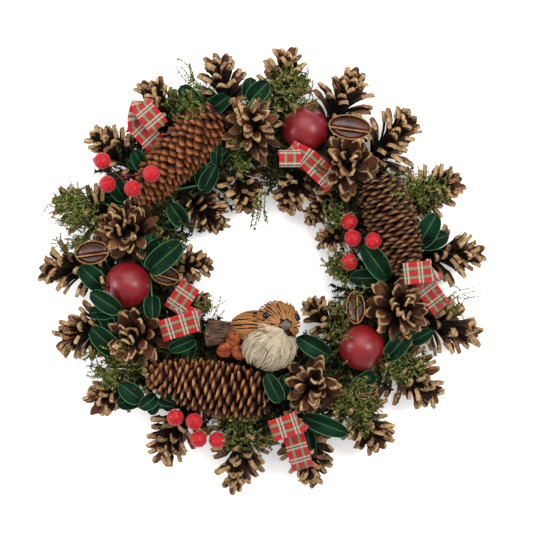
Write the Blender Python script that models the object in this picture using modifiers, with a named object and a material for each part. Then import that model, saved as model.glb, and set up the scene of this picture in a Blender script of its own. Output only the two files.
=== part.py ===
"""A christmas wreath lying on its back, its face up: cones, apples, berries and a robin on a straw ring."""

import math
import random

import bmesh
import bpy
from mathutils import Matrix, Vector
from mathutils.bvhtree import BVHTree

MM = 0.001
GAP = 0.3 * MM
UP = Vector((0, 0, 1))

# The straw ring that carries everything, flattened where it lies down.
RING_RADIUS = 107 * MM
RING_TUBE = 15.5 * MM
RING_FLAT = 1.0 * MM
RING_SEGMENTS = 36
RING_SIDES = 10
RING_Z = RING_TUBE - RING_FLAT

# Open pine cones.
FRONT_ROWS = 5
PINE_PER_ROW = 4
PINE_CORE = 0.23
PINE_SCALE_THICKNESS = 2.4 * MM
PINE_SHORT_REACH = 0.6
PINE_LONG_REACH = 0.24
PINE_TILT = 72
PINE_BUTT_WIDTH = 0.6
PINE_TIP_NARROWER = 0.15
SHORTEST_SCALE = 0.38
SCALE_STEP = 0.05
SIDE_ROWS = 4
CORE_ROOM = 1.2

# The outer row points outwards: angle on the ring, then the distance of its tips from the centre.
OUTER_CONES = [
    (103, 178), (84, 179), (65, 176), (46, 173), (25, 173), (4, 178),
    (-18, 183), (-37, 176), (-57, 174), (-77, 180), (-98, 182), (-119, 179),
    (-141, 181), (-160, 179), (180, 182), (162, 179), (142, 179), (123, 180),
]
OUTER_GIRTH = 29.5 * MM
OUTER_BUTT_Z = 19 * MM
OUTER_TIP_Z = 32 * MM
OUTER_TIP_SHORTER = 5 * MM
WIRE_RADIUS = 0.9 * MM
WIRE_PLACE = 0.08
BUTT_CLEARANCE = 0.6 * MM

# The inner row points into the hole: angle, distance of its tip from the centre, girth.
INNER_CONES = [
    (105, 56, 22), (136, 55, 22), (177, 50, 20), (207, 56, 16), (70, 56, 21),
    (47, 55, 16), (25, 52, 17), (1, 56, 17), (-40, 50, 21), (-86, 58, 19),
]
INNER_BUTT_Z = 17 * MM
INNER_TIP_Z = 24 * MM
INNER_TIP_SHORTER = 4 * MM

# Cones on the crest, facing the viewer: centre x, y and girth.
FRONT_CONES = [
    (-11, 120, 27), (68, 87, 29), (113, -35, 30), (39, -97, 29), (-117, 31, 27), (-110, -59, 27),
]
FRONT_CENTRE_Z = 53 * MM
FRONT_LENGTH = 40 * MM
FRONT_LEAN = 0.35

# Spruce cones along the crest: butt x, y, tip x, y and girth.
SPRUCE_CONES = [
    (-40, 130, -105, 60, 20), (95, 74, 121, -3, 22), (2, -109, -96, -90, 23),
]
SPRUCE_Z = 54 * MM
SPRUCE_ROWS = 10
SPRUCE_PER_ROW = 5
SPRUCE_CORE = 0.62
SPRUCE_ROOM = 0.9
SPRUCE_SHORT_REACH = 0.36
SPRUCE_LONG_REACH = 0.24
SPRUCE_BUTT_TILT = 44
SPRUCE_MORE_TILT = 26
SPRUCE_WIDTH = 0.62
SPRUCE_SCALE_THICKNESS = 1.8 * MM

APPLES = [(34, 117), (-115.5, -14), (81.5, -67)]
APPLE_RADIUS = 19.3 * MM
APPLE_DROP = 4 * MM

# Berry picks: the root on the ring, where the wires part, and the four berries.
BERRY_RADIUS = 7 * MM
BERRY_WIRE = 0.8 * MM
BERRY_STEM = 1.04 * MM
BERRY_KNOT = 1.76 * MM
BERRY_PICKS = [
    ((-92, 62), (-121, 77, 48), [(-136, 89.5, 64), (-131.5, 70, 66), (-110, 66, 76), (-94, 78, 84)]),
    ((92, 14), (80, 22, 40), [(70.6, 39, 50), (73.5, 25, 52), (90.6, 22.8, 62), (70.8, 5, 50)]),
    ((-50, -103), (-60, -130, 44), [(-75, -125, 62), (-59, -128, 66), (-55.5, -143, 62), (-40, -144, 60)]),
]

# Ribbons: the lower run, folded back over itself at its last point into the upper run.
RIBBON_WIDTH = 18 * MM
RIBBON_THICKNESS = 0.8 * MM
RIBBON_FOLD = 2.6 * MM
RIBBON_BULGE = 1.2 * MM
LOWER_STATIONS = (0, 0.5, 0.9)
FOLD_TURNS = (-60, -20, 20, 60)
UPPER_STATIONS = (0.35, 0.7, 1)
TRIM_DROP = 14 * MM
RIBBONS = [
    [[(-98, 116, 62), (-119, 134, 56)], [(-119, 134, 56), (-98, 116, 64), (-85, 102, 76)]],
    [[(33, 91, 58), (12, 92.5, 60)], [(12, 92.5, 60), (33, 91, 63), (58, 78, 63)]],
    [[(-56, -44, 52), (-85, -47, 54)], [(-85, -47, 54), (-62, -22, 58)]],
    [[(131, -12, 70), (123, 6, 76)], [(123, 6, 76), (131, -12, 72), (145, -36, 62)]],
    [[(24, -139, 64), (6, -116, 76)], [(6, -116, 76), (24, -139, 68), (32, -167, 58)]],
]

# Opened seed pods: centre x, y, z, length, width and turn in degrees.
PODS = [
    (71, 118, 58, 36, 21, -8), (-145, 13, 56, 29, 20, 8), (-84, -6, 50, 26, 16, -15),
    (76, -33, 54, 28, 16, 92), (85, -104, 54, 19, 12, 10),
]
POD_DEPTH = 0.42
POD_HOLLOW = 0.22
POD_RIM = 1.2 * MM
POD_FLOOR = 0.6
POD_RIB = (0, -0.2, 0)
ON_PLANE = 1e-5

# Leafy sprays: the root's angle and distance on the ring, then for each leaf base, tip and width.
LEAF_THICKNESS = 0.9 * MM
STEM_RADIUS = 1.1 * MM
SPRAYS = [
    ((112, 107), [((-57, 135), (-71, 153), 13), ((-49, 131), (-30, 145), 13), ((-13, 140), (3, 156), 14)]),
    ((141, 104), [((-118, 57), (-134, 84), 15), ((-102, 84), (-110, 99), 11), ((-41, 87), (-40, 106), 9),
                  ((-52, 65), (-41, 86), 12), ((-69, 38), (-80, 54), 13)]),
    ((181, 99), [((-97, -2), (-70, 21), 17), ((-100, 5), (-84, 24), 15), ((-95, -24), (-94, -44), 12)]),
    ((197, 118), [((-135, -18), (-156, 2), 15), ((-122, -36), (-146, -20), 13), ((-129, -50), (-139, -34), 10),
                  ((-124, -71), (-146, -50), 15)]),
    ((226, 112), [((-104, -111), (-122, -97), 14), ((-91, -108), (-105, -118), 11), ((-88, -109), (-75, -114), 9),
                  ((-59, -60), (-81, -69), 10)]),
    ((277, 108), [((54, -74), (27, -58), 14), ((13, -112), (1, -88), 12), ((32, -125), (70, -139), 13)]),
    ((8, 116), [((129, 19), (144, 45), 16), ((103, -9), (82, 20), 16)]),
    ((-31, 119), [((103, -75), (121, -54), 14), ((124, -62), (141, -52), 10), ((92, -89), (71, -105), 12)]),
]
LEAF_BASE_Z = 46 * MM
LEAF_TIP_Z = 52 * MM
LEAF_ROWS = ((0, 0), (0.3, 0.9), (0.7, 0.9), (1, 0))
LEAF_ARCH = 0.1
LEAF_CUP = 0.1
LEAF_LIFTS = (0, 3, -3, 6, -6, 9, -9, 12, 15, 18, 22)
LEAF_SHRINKS = (1, 0.85, 0.7, 0.55)

# The robin of plant fibre that sits inside the ring.
HEAD = Vector((10, -46, 60)) * MM
HEAD_RADIUS = 18 * MM
BODY = Vector((3.4, -63, 48)) * MM
BODY_SIZE = Vector((20.5, 21.5, 18)) * MM
BACK = Vector((-8, -49, 54)) * MM
BACK_SIZE = Vector((19, 13, 13)) * MM
BREAST = Vector((3.4, -67.4, 61)) * MM
BREAST_SIZE = Vector((21.5, 17.5, 16)) * MM
BEAK = Vector((17.4, -47.4, 78)) * MM
BEAK_RADIUS = 5.5 * MM
BEAK_LENGTH = 11 * MM
EYES = {"robin_eye_left": (1.7, -39.5), "robin_eye_right": (25.6, -41.2)}
EYE_RADIUS = 3.6 * MM
TAIL_ROOT = Vector((-17, -54, 51)) * MM
TAIL_LENGTH = 33 * MM
TAIL_FANS = (-13, 0, 13)
TAIL_ROOT_RADIUS = 6.5 * MM
TAIL_TIP_RADIUS = 4.5 * MM
TAIL_THINNESS = 0.45
TAIL_STAGGER = Vector((-0.08, 0, 0.06)) * MM
BEAK_TIP_RADIUS = 0.8 * MM
FIBRE_RELIEF = 0.04
STRAW_RELIEF = 0.05
BREAST_POLE = Vector((0.3, 0.6, 0.8))

# The dried capsule by its tail.
CAPSULE = Vector((-31, -69, 66)) * MM
CAPSULE_HEART = 3 * MM
VALVE_PLACE = Vector((6, 0, 0)) * MM
VALVE_SIZE = Vector((6.2, 3.6, 3.2)) * MM
VALVE_TURNS = (95, 195, 320)

COLOURS = {
    "straw": ((0.45, 0.33, 0.16), 0.9), "pine": ((0.14, 0.075, 0.045), 0.8),
    "spruce": ((0.42, 0.2, 0.09), 0.75), "apple": ((0.3, 0.02, 0.03), 0.35),
    "berry": ((0.6, 0.03, 0.05), 0.6), "ribbon": ((0.6, 0.05, 0.08), 0.8),
    "pod": ((0.4, 0.2, 0.09), 0.5), "leaf": ((0.02, 0.12, 0.05), 0.7),
    "fibre": ((0.34, 0.16, 0.07), 0.9), "cream": ((0.68, 0.55, 0.36), 0.9),
    "horn": ((0.3, 0.25, 0.2), 0.7), "bead": ((0.01, 0.01, 0.01), 0.1), "bark": ((0.06, 0.035, 0.02), 0.9),
}

collection = bpy.data.collections.new("christmas_wreath")
placed = {}
reserved = {}


def clear_scene():
    for existing in list(bpy.data.objects):
        bpy.data.objects.remove(existing)
    bpy.context.scene.collection.children.link(collection)


def on_ring(angle, distance, z):
    """The point at an angle in degrees and a distance from the wreath's centre."""
    turn = math.radians(angle)
    return Vector((distance * math.cos(turn), distance * math.sin(turn), z))


def ring_root(point, clearance):
    """The place over a point where a root's middle stands clear of the ring's upper side."""
    location, normal = placed["straw_ring"][0].ray_cast(Vector((point.x, point.y, 1)), -UP)[:2]
    return location + normal * (clearance + GAP)


def seated(butt, tip):
    """Moves a cone's axis along itself until its butt stands against the ring."""
    ahead = (tip - butt).normalized()
    distance = placed["straw_ring"][0].ray_cast(butt + ahead * RING_TUBE / 2, -ahead)[3]
    shift = ahead * (RING_TUBE / 2 - distance + 1.3 * GAP)
    return butt + shift, tip + shift


def shaded(mesh):
    mesh.shade_smooth()
    mesh.set_sharp_from_angle(angle=math.radians(40))


def new_object(name, bm, finish, matrix=Matrix()):
    """An object of its own mesh and its own material, linked to the wreath."""
    bmesh.ops.recalc_face_normals(bm, faces=bm.faces)
    if bm.calc_volume(signed=True) < 0:
        bmesh.ops.reverse_faces(bm, faces=bm.faces)
    mesh = bpy.data.meshes.new(name)
    bm.to_mesh(mesh)
    bm.free()
    shaded(mesh)
    obj = bpy.data.objects.new(name, mesh)
    obj.matrix_world = matrix
    collection.objects.link(obj)
    colour, roughness = COLOURS[finish]
    material = bpy.data.materials.new(name)
    material.use_nodes = True
    shader = material.node_tree.nodes["Principled BSDF"]
    shader.inputs["Base Color"].default_value = (*colour, 1)
    shader.inputs["Roughness"].default_value = roughness
    shader.inputs["Metallic"].default_value = 0
    mesh.materials.append(material)
    return obj


def evaluated_mesh(obj):
    bpy.context.view_layer.update()
    return bpy.data.meshes.new_from_object(obj.evaluated_get(bpy.context.evaluated_depsgraph_get()))


def apply_modifiers(obj):
    obj.data, old = evaluated_mesh(obj), obj.data
    obj.modifiers.clear()
    bpy.data.meshes.remove(old)
    shaded(obj.data)


def combine(obj, others, operation, solver="EXACT"):
    """Joins the others to an object, or cuts it by them, in one Boolean; the others are then removed."""
    group = bpy.data.collections.new("cutters")
    bpy.context.scene.collection.children.link(group)
    for other in others:
        collection.objects.unlink(other)
        group.objects.link(other)
        other.hide_render = True
        other.display_type = "WIRE"
    modifier = obj.modifiers.new(operation.lower(), "BOOLEAN")
    modifier.operation = operation
    modifier.operand_type = "COLLECTION"
    modifier.collection = group
    modifier.solver = solver
    apply_modifiers(obj)
    for other in others:
        bpy.data.objects.remove(other)
    bpy.data.collections.remove(group)


def world_tree(obj, grow=0.0):
    """A search tree of the object's surface in world space, grown along its normals."""
    mesh = evaluated_mesh(obj)
    points = [obj.matrix_world @ (v.co + v.normal * grow) for v in mesh.vertices]
    faces = [tuple(p.vertices) for p in mesh.polygons]
    bpy.data.meshes.remove(mesh)
    return BVHTree.FromPolygons(points, faces), points


def box_of(points):
    low = Vector([min(p[i] for p in points) for i in range(3)])
    high = Vector([max(p[i] for p in points) for i in range(3)])
    return low, high


def claim(obj):
    """Later pieces keep clear of this object."""
    tree, points = world_tree(obj)
    placed[obj.name] = (tree, *box_of(points))


def reserve(name, butt, tip, radius):
    """Keeps the place of a cone's core free until the cone is built."""
    bm = bmesh.new()
    depth = (tip - butt).length
    bmesh.ops.create_cone(bm, cap_ends=True, segments=8, radius1=radius, radius2=radius, depth=depth)
    bm.transform(along(butt, tip) @ Matrix.Translation((0, 0, depth / 2)))
    points = [v.co.copy() for v in bm.verts]
    reserved[name] = (BVHTree.FromBMesh(bm), *box_of(points))
    bm.free()


def free(tree, points, own=""):
    """Whether a surface meets no placed piece, no core but its own, and not the surface it lies on."""
    low, high = box_of(points)
    if low.z < GAP:
        return False
    others = [entry for group in (placed, reserved) for name, entry in group.items() if name != own]
    for other, other_low, other_high in others:
        apart = any(low[i] > other_high[i] or high[i] < other_low[i] for i in range(3))
        if not apart and tree.overlap(other):
            return False
    return True


def along(start, end):
    """The matrix that puts local Z on the way from start to end."""
    turn = UP.rotation_difference((end - start).normalized())
    return Matrix.Translation(start) @ turn.to_matrix().to_4x4()


def rod(name, start, end, radius, finish, sides=5):
    bm = bmesh.new()
    depth = (end - start).length
    bmesh.ops.create_cone(bm, cap_ends=True, segments=sides, radius1=radius, radius2=radius, depth=depth)
    return new_object(name, bm, finish, along(start, end) @ Matrix.Translation((0, 0, depth / 2)))


def ball(name, centre, size, finish, segments=10, rings=7, matrix=Matrix()):
    bm = bmesh.new()
    bmesh.ops.create_uvsphere(bm, u_segments=segments, v_segments=rings, radius=1)
    bm.transform(matrix @ Matrix.Diagonal((*size, 1)))
    return new_object(name, bm, finish, Matrix.Translation(centre))


def straw_ring():
    """A torus turned from a round section, with the side it lies on pressed flat."""
    bpy.ops.mesh.primitive_torus_add(major_segments=RING_SEGMENTS, minor_segments=RING_SIDES,
                                     major_radius=RING_RADIUS, minor_radius=RING_TUBE)
    made = bpy.context.object
    bm = bmesh.new()
    bm.from_mesh(made.data)
    bpy.data.objects.remove(made)
    for vertex in bm.verts:
        vertex.co.z = max(vertex.co.z + RING_Z, 0)
    claim(new_object("straw_ring", bm, "straw"))


def cone_core(length, radius, rows, per_row, taper):
    """A slim spindle whose faces lie in even rows, with two faces for each scale of a row."""
    bm = bmesh.new()
    bmesh.ops.create_uvsphere(bm, u_segments=2 * per_row, v_segments=rows + 2, radius=1)
    for vertex in bm.verts:
        share = math.acos(max(-1, min(1, -vertex.co.z))) / math.pi
        flat = Vector((vertex.co.x, vertex.co.y, 0))
        spread = radius * taper(share) if flat.length > 0.01 else 0
        vertex.co = flat.normalized() * spread + UP * length * share
    return bm


def scale_corners(face, reach, tilt, width, thickness, sector):
    """Where the outer end of a scale's face goes: wide, thin and within its own sector of the cone."""
    middle = face.calc_center_median()
    outward = Vector((middle.x, middle.y, 0)).normalized()
    sideways = UP.cross(outward)
    ahead = outward * math.cos(tilt) + UP * math.sin(tilt)
    above = UP * math.cos(tilt) - outward * math.sin(tilt)
    corners = []
    for vertex in face.verts:
        offset = vertex.co - middle
        side = math.copysign(1, offset.dot(sideways))
        layer = math.copysign(1, offset.dot(UP))
        corner = middle + ahead * reach + above * layer * thickness / 2
        half = min(width / 2, abs(corner.dot(outward)) * math.tan(sector) * 0.92)
        corners.append(corner + sideways * side * half)
    point = middle + ahead * (reach + width * 0.22)
    return corners, point


def scale_is_free(face, corners, point, matrix, own):
    """Tests a scale's outer part, grown by the gap, against everything around it."""
    roots = [v.co.lerp(corner, 0.12) for v, corner in zip(face.verts, corners)]
    middle = sum(corners, Vector()) / 4
    grown = [corner + (corner - middle).normalized() * GAP * 1.5 for corner in corners]
    tip = point + (point - middle).normalized() * GAP * 1.5
    points = [matrix @ p for p in roots + grown + [tip]]
    faces = [(0, 1, 2, 3)]
    for i in range(4):
        following = (i + 1) % 4
        faces.append((i, following, 4 + following, 4 + i))
        faces.append((4 + i, 4 + following, 8))
    return free(BVHTree.FromPolygons(points, faces), points, own)


def grow_cone(name, butt, tip, girth, rows, per_row, core, taper, shape, finish, seed):
    """A cone: scales drawn out of every other face of its core, each as long as its neighbours allow."""
    draw = random.Random(seed)
    length = (tip - butt).length
    matrix = along(butt, tip) @ Matrix.Rotation(draw.uniform(0, math.tau), 4, "Z")
    bm = cone_core(length, girth * core, rows, per_row, taper)
    sector = math.pi / (2 * per_row)
    chosen = []
    for face in bm.faces:
        middle = face.calc_center_median()
        row = math.floor(middle.z / length * (rows + 2)) - 1
        column = math.floor(math.atan2(middle.y, middle.x) % math.tau / (2 * sector))
        if len(face.verts) == 4 and (row + column) % 2 == 0:
            chosen.append((row, column, face))
    chosen.sort(key=lambda entry: entry[:2])
    for row, _column, face in chosen:
        reach, tilt, width, thickness = shape(row / (rows - 1), girth)
        reach *= draw.uniform(0.94, 1.06)
        tilt += draw.uniform(-0.07, 0.07)
        shorter = 1
        while shorter >= SHORTEST_SCALE:
            size = (reach * shorter, tilt, width * math.sqrt(shorter), thickness, sector)
            if scale_is_free(face, *scale_corners(face, *size), matrix, name):
                break
            shorter -= SCALE_STEP
        if shorter < SHORTEST_SCALE:
            continue
        end = bmesh.ops.extrude_discrete_faces(bm, faces=[face])["faces"][0]
        corners, point = scale_corners(end, *size)
        for vertex, corner in zip(end.verts, corners):
            vertex.co = corner
        centre = bmesh.ops.poke(bm, faces=[end])["verts"][0]
        centre.co = point
    return new_object(name, bm, finish, matrix)


def pine_taper(share):
    return 1.05 - 0.5 * share


def pine_shape(share, girth):
    middle = math.sin(math.pi * (0.08 + 0.84 * share))
    reach = girth * (PINE_SHORT_REACH + PINE_LONG_REACH * middle)
    tilt = math.radians(PINE_TILT) * share**1.1
    width = girth * (PINE_BUTT_WIDTH - PINE_TIP_NARROWER * share)
    return reach, tilt, width, PINE_SCALE_THICKNESS


def spruce_taper(share):
    return math.sin(math.pi * (0.12 + 0.82 * share)) ** 0.6 * (1.08 - 0.3 * share)


def spruce_shape(share, girth):
    middle = math.sin(math.pi * (0.1 + 0.8 * share))
    reach = girth * (SPRUCE_SHORT_REACH + SPRUCE_LONG_REACH * middle)
    tilt = math.radians(SPRUCE_BUTT_TILT + SPRUCE_MORE_TILT * share)
    return reach, tilt, girth * SPRUCE_WIDTH, SPRUCE_SCALE_THICKNESS


def pine_cone(name, butt, tip, girth, seed, rows):
    return grow_cone(name, butt, tip, girth, rows, PINE_PER_ROW, PINE_CORE, pine_taper, pine_shape,
                     "pine", seed)


def outer_axis(angle, reach):
    butt = on_ring(angle, RING_RADIUS + RING_TUBE + BUTT_CLEARANCE, OUTER_BUTT_Z)
    tip = on_ring(angle, reach * MM - OUTER_TIP_SHORTER, OUTER_TIP_Z)
    return seated(butt, tip)


def inner_axis(angle, reach):
    butt = on_ring(angle, RING_RADIUS - RING_TUBE - BUTT_CLEARANCE, INNER_BUTT_Z)
    tip = on_ring(angle, reach * MM + INNER_TIP_SHORTER, INNER_TIP_Z)
    return seated(butt, tip)


def front_axis(x, y):
    """From the ring's crest through the cone's centre, which may lean outwards."""
    centre = Vector((x * MM, y * MM, FRONT_CENTRE_Z))
    angle = math.degrees(math.atan2(y, x))
    distance = RING_RADIUS + FRONT_LEAN * (centre.to_2d().length - RING_RADIUS)
    butt = ring_root(on_ring(angle, distance, 0), 0)
    return seated(butt, butt + (centre - butt).normalized() * FRONT_LENGTH)


def reserve_cores():
    """Every cone's core keeps its place before the pieces between the cones are set."""
    for i, (angle, reach) in enumerate(OUTER_CONES):
        reserve(f"outer_cone_{i}", *outer_axis(angle, reach), OUTER_GIRTH * PINE_CORE * CORE_ROOM)
    for i, (angle, reach, girth) in enumerate(INNER_CONES):
        reserve(f"inner_cone_{i + 1}", *inner_axis(angle, reach), girth * MM * PINE_CORE * CORE_ROOM)
    for i, (x, y, girth) in enumerate(FRONT_CONES):
        reserve(f"front_cone_{i + 1}", *front_axis(x, y), girth * MM * PINE_CORE * CORE_ROOM)
    for i, (x, y, tip_x, tip_y, girth) in enumerate(SPRUCE_CONES):
        butt = Vector((x * MM, y * MM, SPRUCE_Z))
        tip = Vector((tip_x * MM, tip_y * MM, SPRUCE_Z))
        reserve(f"spruce_cone_{i + 1}", butt, tip, girth * MM * SPRUCE_CORE * SPRUCE_ROOM)


def lower(obj, furthest):
    """Lets a piece down in small steps until what carries it is a gap away."""
    step = 0.2 * MM
    for _ in range(int(furthest / step)):
        obj.location.z -= step
        if not free(*world_tree(obj, GAP), obj.name):
            obj.location.z += step
            break
    claim(obj)


def spruce_cones():
    for i, (x, y, tip_x, tip_y, girth) in enumerate(SPRUCE_CONES):
        butt = Vector((x * MM, y * MM, SPRUCE_Z))
        tip = Vector((tip_x * MM, tip_y * MM, SPRUCE_Z))
        claim(grow_cone(f"spruce_cone_{i + 1}", butt, tip, girth * MM, SPRUCE_ROWS, SPRUCE_PER_ROW,
                        SPRUCE_CORE, spruce_taper, spruce_shape, "spruce", 40 + i))


def pine_cones():
    for i, (x, y, girth) in enumerate(FRONT_CONES):
        claim(pine_cone(f"front_cone_{i + 1}", *front_axis(x, y), girth * MM, 60 + i, FRONT_ROWS))
    for i, (angle, reach, girth) in enumerate(INNER_CONES):
        claim(pine_cone(f"inner_cone_{i + 1}", *inner_axis(angle, reach), girth * MM, 80 + i, SIDE_ROWS))


def outer_cones():
    """The outer row, wired together two by two near their butts as they are fixed to the ring."""
    for number in range(len(OUTER_CONES) // 2):
        pair = []
        middles = []
        for i in (2 * number, 2 * number + 1):
            angle, reach = OUTER_CONES[i]
            butt, tip = outer_axis(angle, reach)
            made = pine_cone(f"outer_cone_{i}", butt, tip, OUTER_GIRTH, 100 + i, SIDE_ROWS)
            claim(made)
            pair.append(made)
            middles.append(butt.lerp(tip, WIRE_PLACE))
        first, second = pair
        wire = rod("wire", *middles, WIRE_RADIUS, "pine")
        combine(first, [second, wire], "UNION")
        first.name = f"outer_cones_{number + 1}"


def apples():
    for i, (x, y) in enumerate(APPLES):
        distance = Vector((x, y)).length * MM
        reach = RING_TUBE + APPLE_RADIUS + GAP
        z = RING_Z + math.sqrt(reach**2 - (distance - RING_RADIUS) ** 2)
        size = (APPLE_RADIUS, APPLE_RADIUS, APPLE_RADIUS)
        apple = ball(f"apple_{i + 1}", Vector((x * MM, y * MM, z + 2 * GAP)), size, "apple", 14, 9)
        lower(apple, APPLE_DROP)


def berry_picks():
    for number, (root, fork, berries) in enumerate(BERRY_PICKS):
        foot = ring_root(Vector((*root, 0)) * MM, BERRY_STEM)
        split = Vector(fork) * MM
        pieces = [rod("stem", foot, split, BERRY_STEM, "berry")]
        pieces.append(ball("knot", split, [BERRY_KNOT] * 3, "berry", 6, 5))
        for x, y, z in berries:
            centre = Vector((x, y, z)) * MM
            pieces.append(rod("wire", split, centre, BERRY_WIRE, "berry", 4))
            pieces.append(ball("berry", centre, [BERRY_RADIUS] * 3, "berry", 8, 5))
        combine(pieces[0], pieces[1:], "UNION")
        pieces[0].name = f"berry_pick_{number + 1}"
        claim(pieces[0])


def strip(bm, rows):
    """Fills a surface through rows of points, starting from a flat grid."""
    across = len(rows[0])
    made = bmesh.ops.create_grid(bm, x_segments=across - 1, y_segments=len(rows) - 1, size=1)["verts"]
    made.sort(key=lambda v: (round(v.co.y, 4), round(v.co.x, 4)))
    for vertex, point in zip(made, (p for row in rows for p in row)):
        vertex.co = point


def thicken(obj, thickness):
    solidify = obj.modifiers.new("thickness", "SOLIDIFY")
    solidify.thickness = thickness
    solidify.offset = 0
    solidify.use_even_offset = True
    apply_modifiers(obj)


def ribbon_side(start, end):
    return UP.cross(end - start).normalized() * RIBBON_WIDTH / 2


def ribbon(name, lower, upper):
    """A length of ribbon folded back over itself, its upper run going on as a tail."""
    lower = [Vector(p) * MM for p in lower]
    upper = [Vector(p) * MM + UP * 2 * RIBBON_FOLD for p in upper]
    stations = []
    side = ribbon_side(lower[0], lower[-1])
    for share in LOWER_STATIONS:
        stations.append((lower[0].lerp(lower[-1], share), side))
    back = ribbon_side(upper[0], upper[1])
    if back.dot(side) < 0:
        back.negate()
    ahead = (lower[-1] - lower[0]).normalized()
    centre = lower[-1] + UP * RIBBON_FOLD
    for i, turn in enumerate(FOLD_TURNS):
        angle = math.radians(turn)
        point = centre + (ahead * math.cos(angle) + UP * math.sin(angle)) * RIBBON_FOLD
        stations.append((point, side.lerp(back, i / (len(FOLD_TURNS) - 1))))
    for start, end in zip(upper, upper[1:]):
        here = ribbon_side(start, end)
        if here.dot(back) < 0:
            here.negate()
        for share in UPPER_STATIONS:
            bulge = UP * RIBBON_BULGE * math.sin(math.pi * share)
            stations.append((start.lerp(end, share) + bulge, back.lerp(here, share)))
        back = here
    rows = [(point - half, point + half) for point, half in stations]
    bm = bmesh.new()
    strip(bm, rows)
    made = new_object(name, bm, "ribbon")
    thicken(made, RIBBON_THICKNESS)
    claim(made)


def ribbons():
    for i, (lower, upper) in enumerate(RIBBONS):
        ribbon(f"ribbon_{i + 1}", lower, upper)


def pods():
    """Half spindles with two hollows, the wider one above the rib that runs their length."""
    for i, (x, y, z, length, width, turn) in enumerate(PODS):
        bm = bmesh.new()
        bmesh.ops.create_uvsphere(bm, u_segments=12, v_segments=6, radius=1)
        geometry = bm.verts[:] + bm.edges[:] + bm.faces[:]
        cut = bmesh.ops.bisect_plane(bm, geom=geometry, dist=ON_PLANE, plane_co=(0, 0, 0), plane_no=(0, 0, 1),
                                     clear_outer=True)
        rim = [e for e in cut["geom_cut"] if isinstance(e, bmesh.types.BMEdge)]
        top = bmesh.ops.contextual_create(bm, geom=rim)["faces"]
        bmesh.ops.bisect_plane(bm, geom=top + rim, dist=ON_PLANE, plane_co=POD_RIB, plane_no=(0, 1, 0))
        halves = [f for f in bm.faces if f.normal.z > 0.9 or f.normal.z < -0.9]
        halves = [f for f in halves if abs(f.calc_center_median().z) < ON_PLANE]
        bm.transform(Matrix.Diagonal((length * MM / 2, width * MM / 2, width * MM * POD_DEPTH, 1)))
        bmesh.ops.inset_individual(bm, faces=halves, thickness=POD_RIM)
        for face in halves:
            floor = bmesh.ops.extrude_discrete_faces(bm, faces=[face])["faces"][0]
            middle = floor.calc_center_median()
            for vertex in floor.verts:
                inward = middle.lerp(vertex.co, POD_FLOOR)
                vertex.co = inward - UP * width * MM * POD_HOLLOW
        place = Matrix.Translation(Vector((x, y, z)) * MM) @ Matrix.Rotation(math.radians(turn), 4, "Z")
        claim(new_object(f"seed_pod_{i + 1}", bm, "pod", place))


def leaf(base, tip, width):
    """A thin arched blade, pointed at both ends and creased along its midrib, and the place of its stalk."""
    length = (tip - base).length
    ahead = (tip - base).normalized()
    side = UP.cross(ahead).normalized()
    above = ahead.cross(side)
    rows = []
    for share, spread in LEAF_ROWS:
        middle = base + ahead * length * share + above * length * LEAF_ARCH * math.sin(math.pi * share)
        half = side * width / 2 * spread
        lift = above * width * LEAF_CUP * spread
        rows.append((middle - half + lift, middle, middle + half + lift))
    bm = bmesh.new()
    strip(bm, rows)
    bmesh.ops.remove_doubles(bm, verts=bm.verts, dist=0.01 * MM)
    blade = new_object("blade", bm, "leaf")
    thicken(blade, LEAF_THICKNESS)
    return blade, rows[1][1]


def leaf_sprays():
    """Leaves on short stems from one root; each leaf takes the nearest height at which it is free."""
    crowded = []
    for number, ((angle, distance), leaves) in enumerate(SPRAYS):
        root = ring_root(on_ring(angle, distance * MM, 0), STEM_RADIUS * 2)
        pieces = [ball("root", root, [STEM_RADIUS * 2] * 3, "leaf", 5, 4)]
        for (base_x, base_y), (tip_x, tip_y), width in leaves:
            found = None
            for shrink in LEAF_SHRINKS:
                for lift in LEAF_LIFTS:
                    base = Vector((base_x * MM, base_y * MM, LEAF_BASE_Z + lift * MM))
                    tip = Vector((tip_x * MM, tip_y * MM, LEAF_TIP_Z + lift * MM))
                    tip = base.lerp(tip, shrink)
                    blade, stalk = leaf(base, tip, width * MM * shrink)
                    stem = rod("stem", root, stalk, STEM_RADIUS, "leaf", 3)
                    if all(free(*world_tree(piece, GAP)) for piece in (blade, stem)):
                        found = [blade, stem]
                        break
                    bpy.data.objects.remove(blade)
                    bpy.data.objects.remove(stem)
                if found:
                    break
            if not found:
                crowded.append((number + 1, base_x, base_y))
                continue
            pieces += found
        combine(pieces[0], pieces[1:], "UNION")
        pieces[0].name = f"leaf_spray_{number + 1}"
        claim(pieces[0])
    if crowded:
        raise RuntimeError(f"no room for the leaves at {crowded}")


def ribbed_ball(name, centre, size, finish, segments, rings, relief, pole):
    """A ball with ridges that run from its pole, like fibres laid from the beak backwards."""
    bm = bmesh.new()
    bmesh.ops.create_uvsphere(bm, u_segments=segments, v_segments=rings, radius=1)
    for vertex in bm.verts:
        flat = math.hypot(vertex.co.x, vertex.co.y)
        column = round(math.atan2(vertex.co.y, vertex.co.x) / (math.tau / segments))
        vertex.co *= 1 + relief * (column % 2) * flat
    bm.transform(Matrix.Diagonal((*size, 1)) @ UP.rotation_difference(pole.normalized()).to_matrix().to_4x4())
    return new_object(name, bm, finish, Matrix.Translation(centre))


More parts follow.
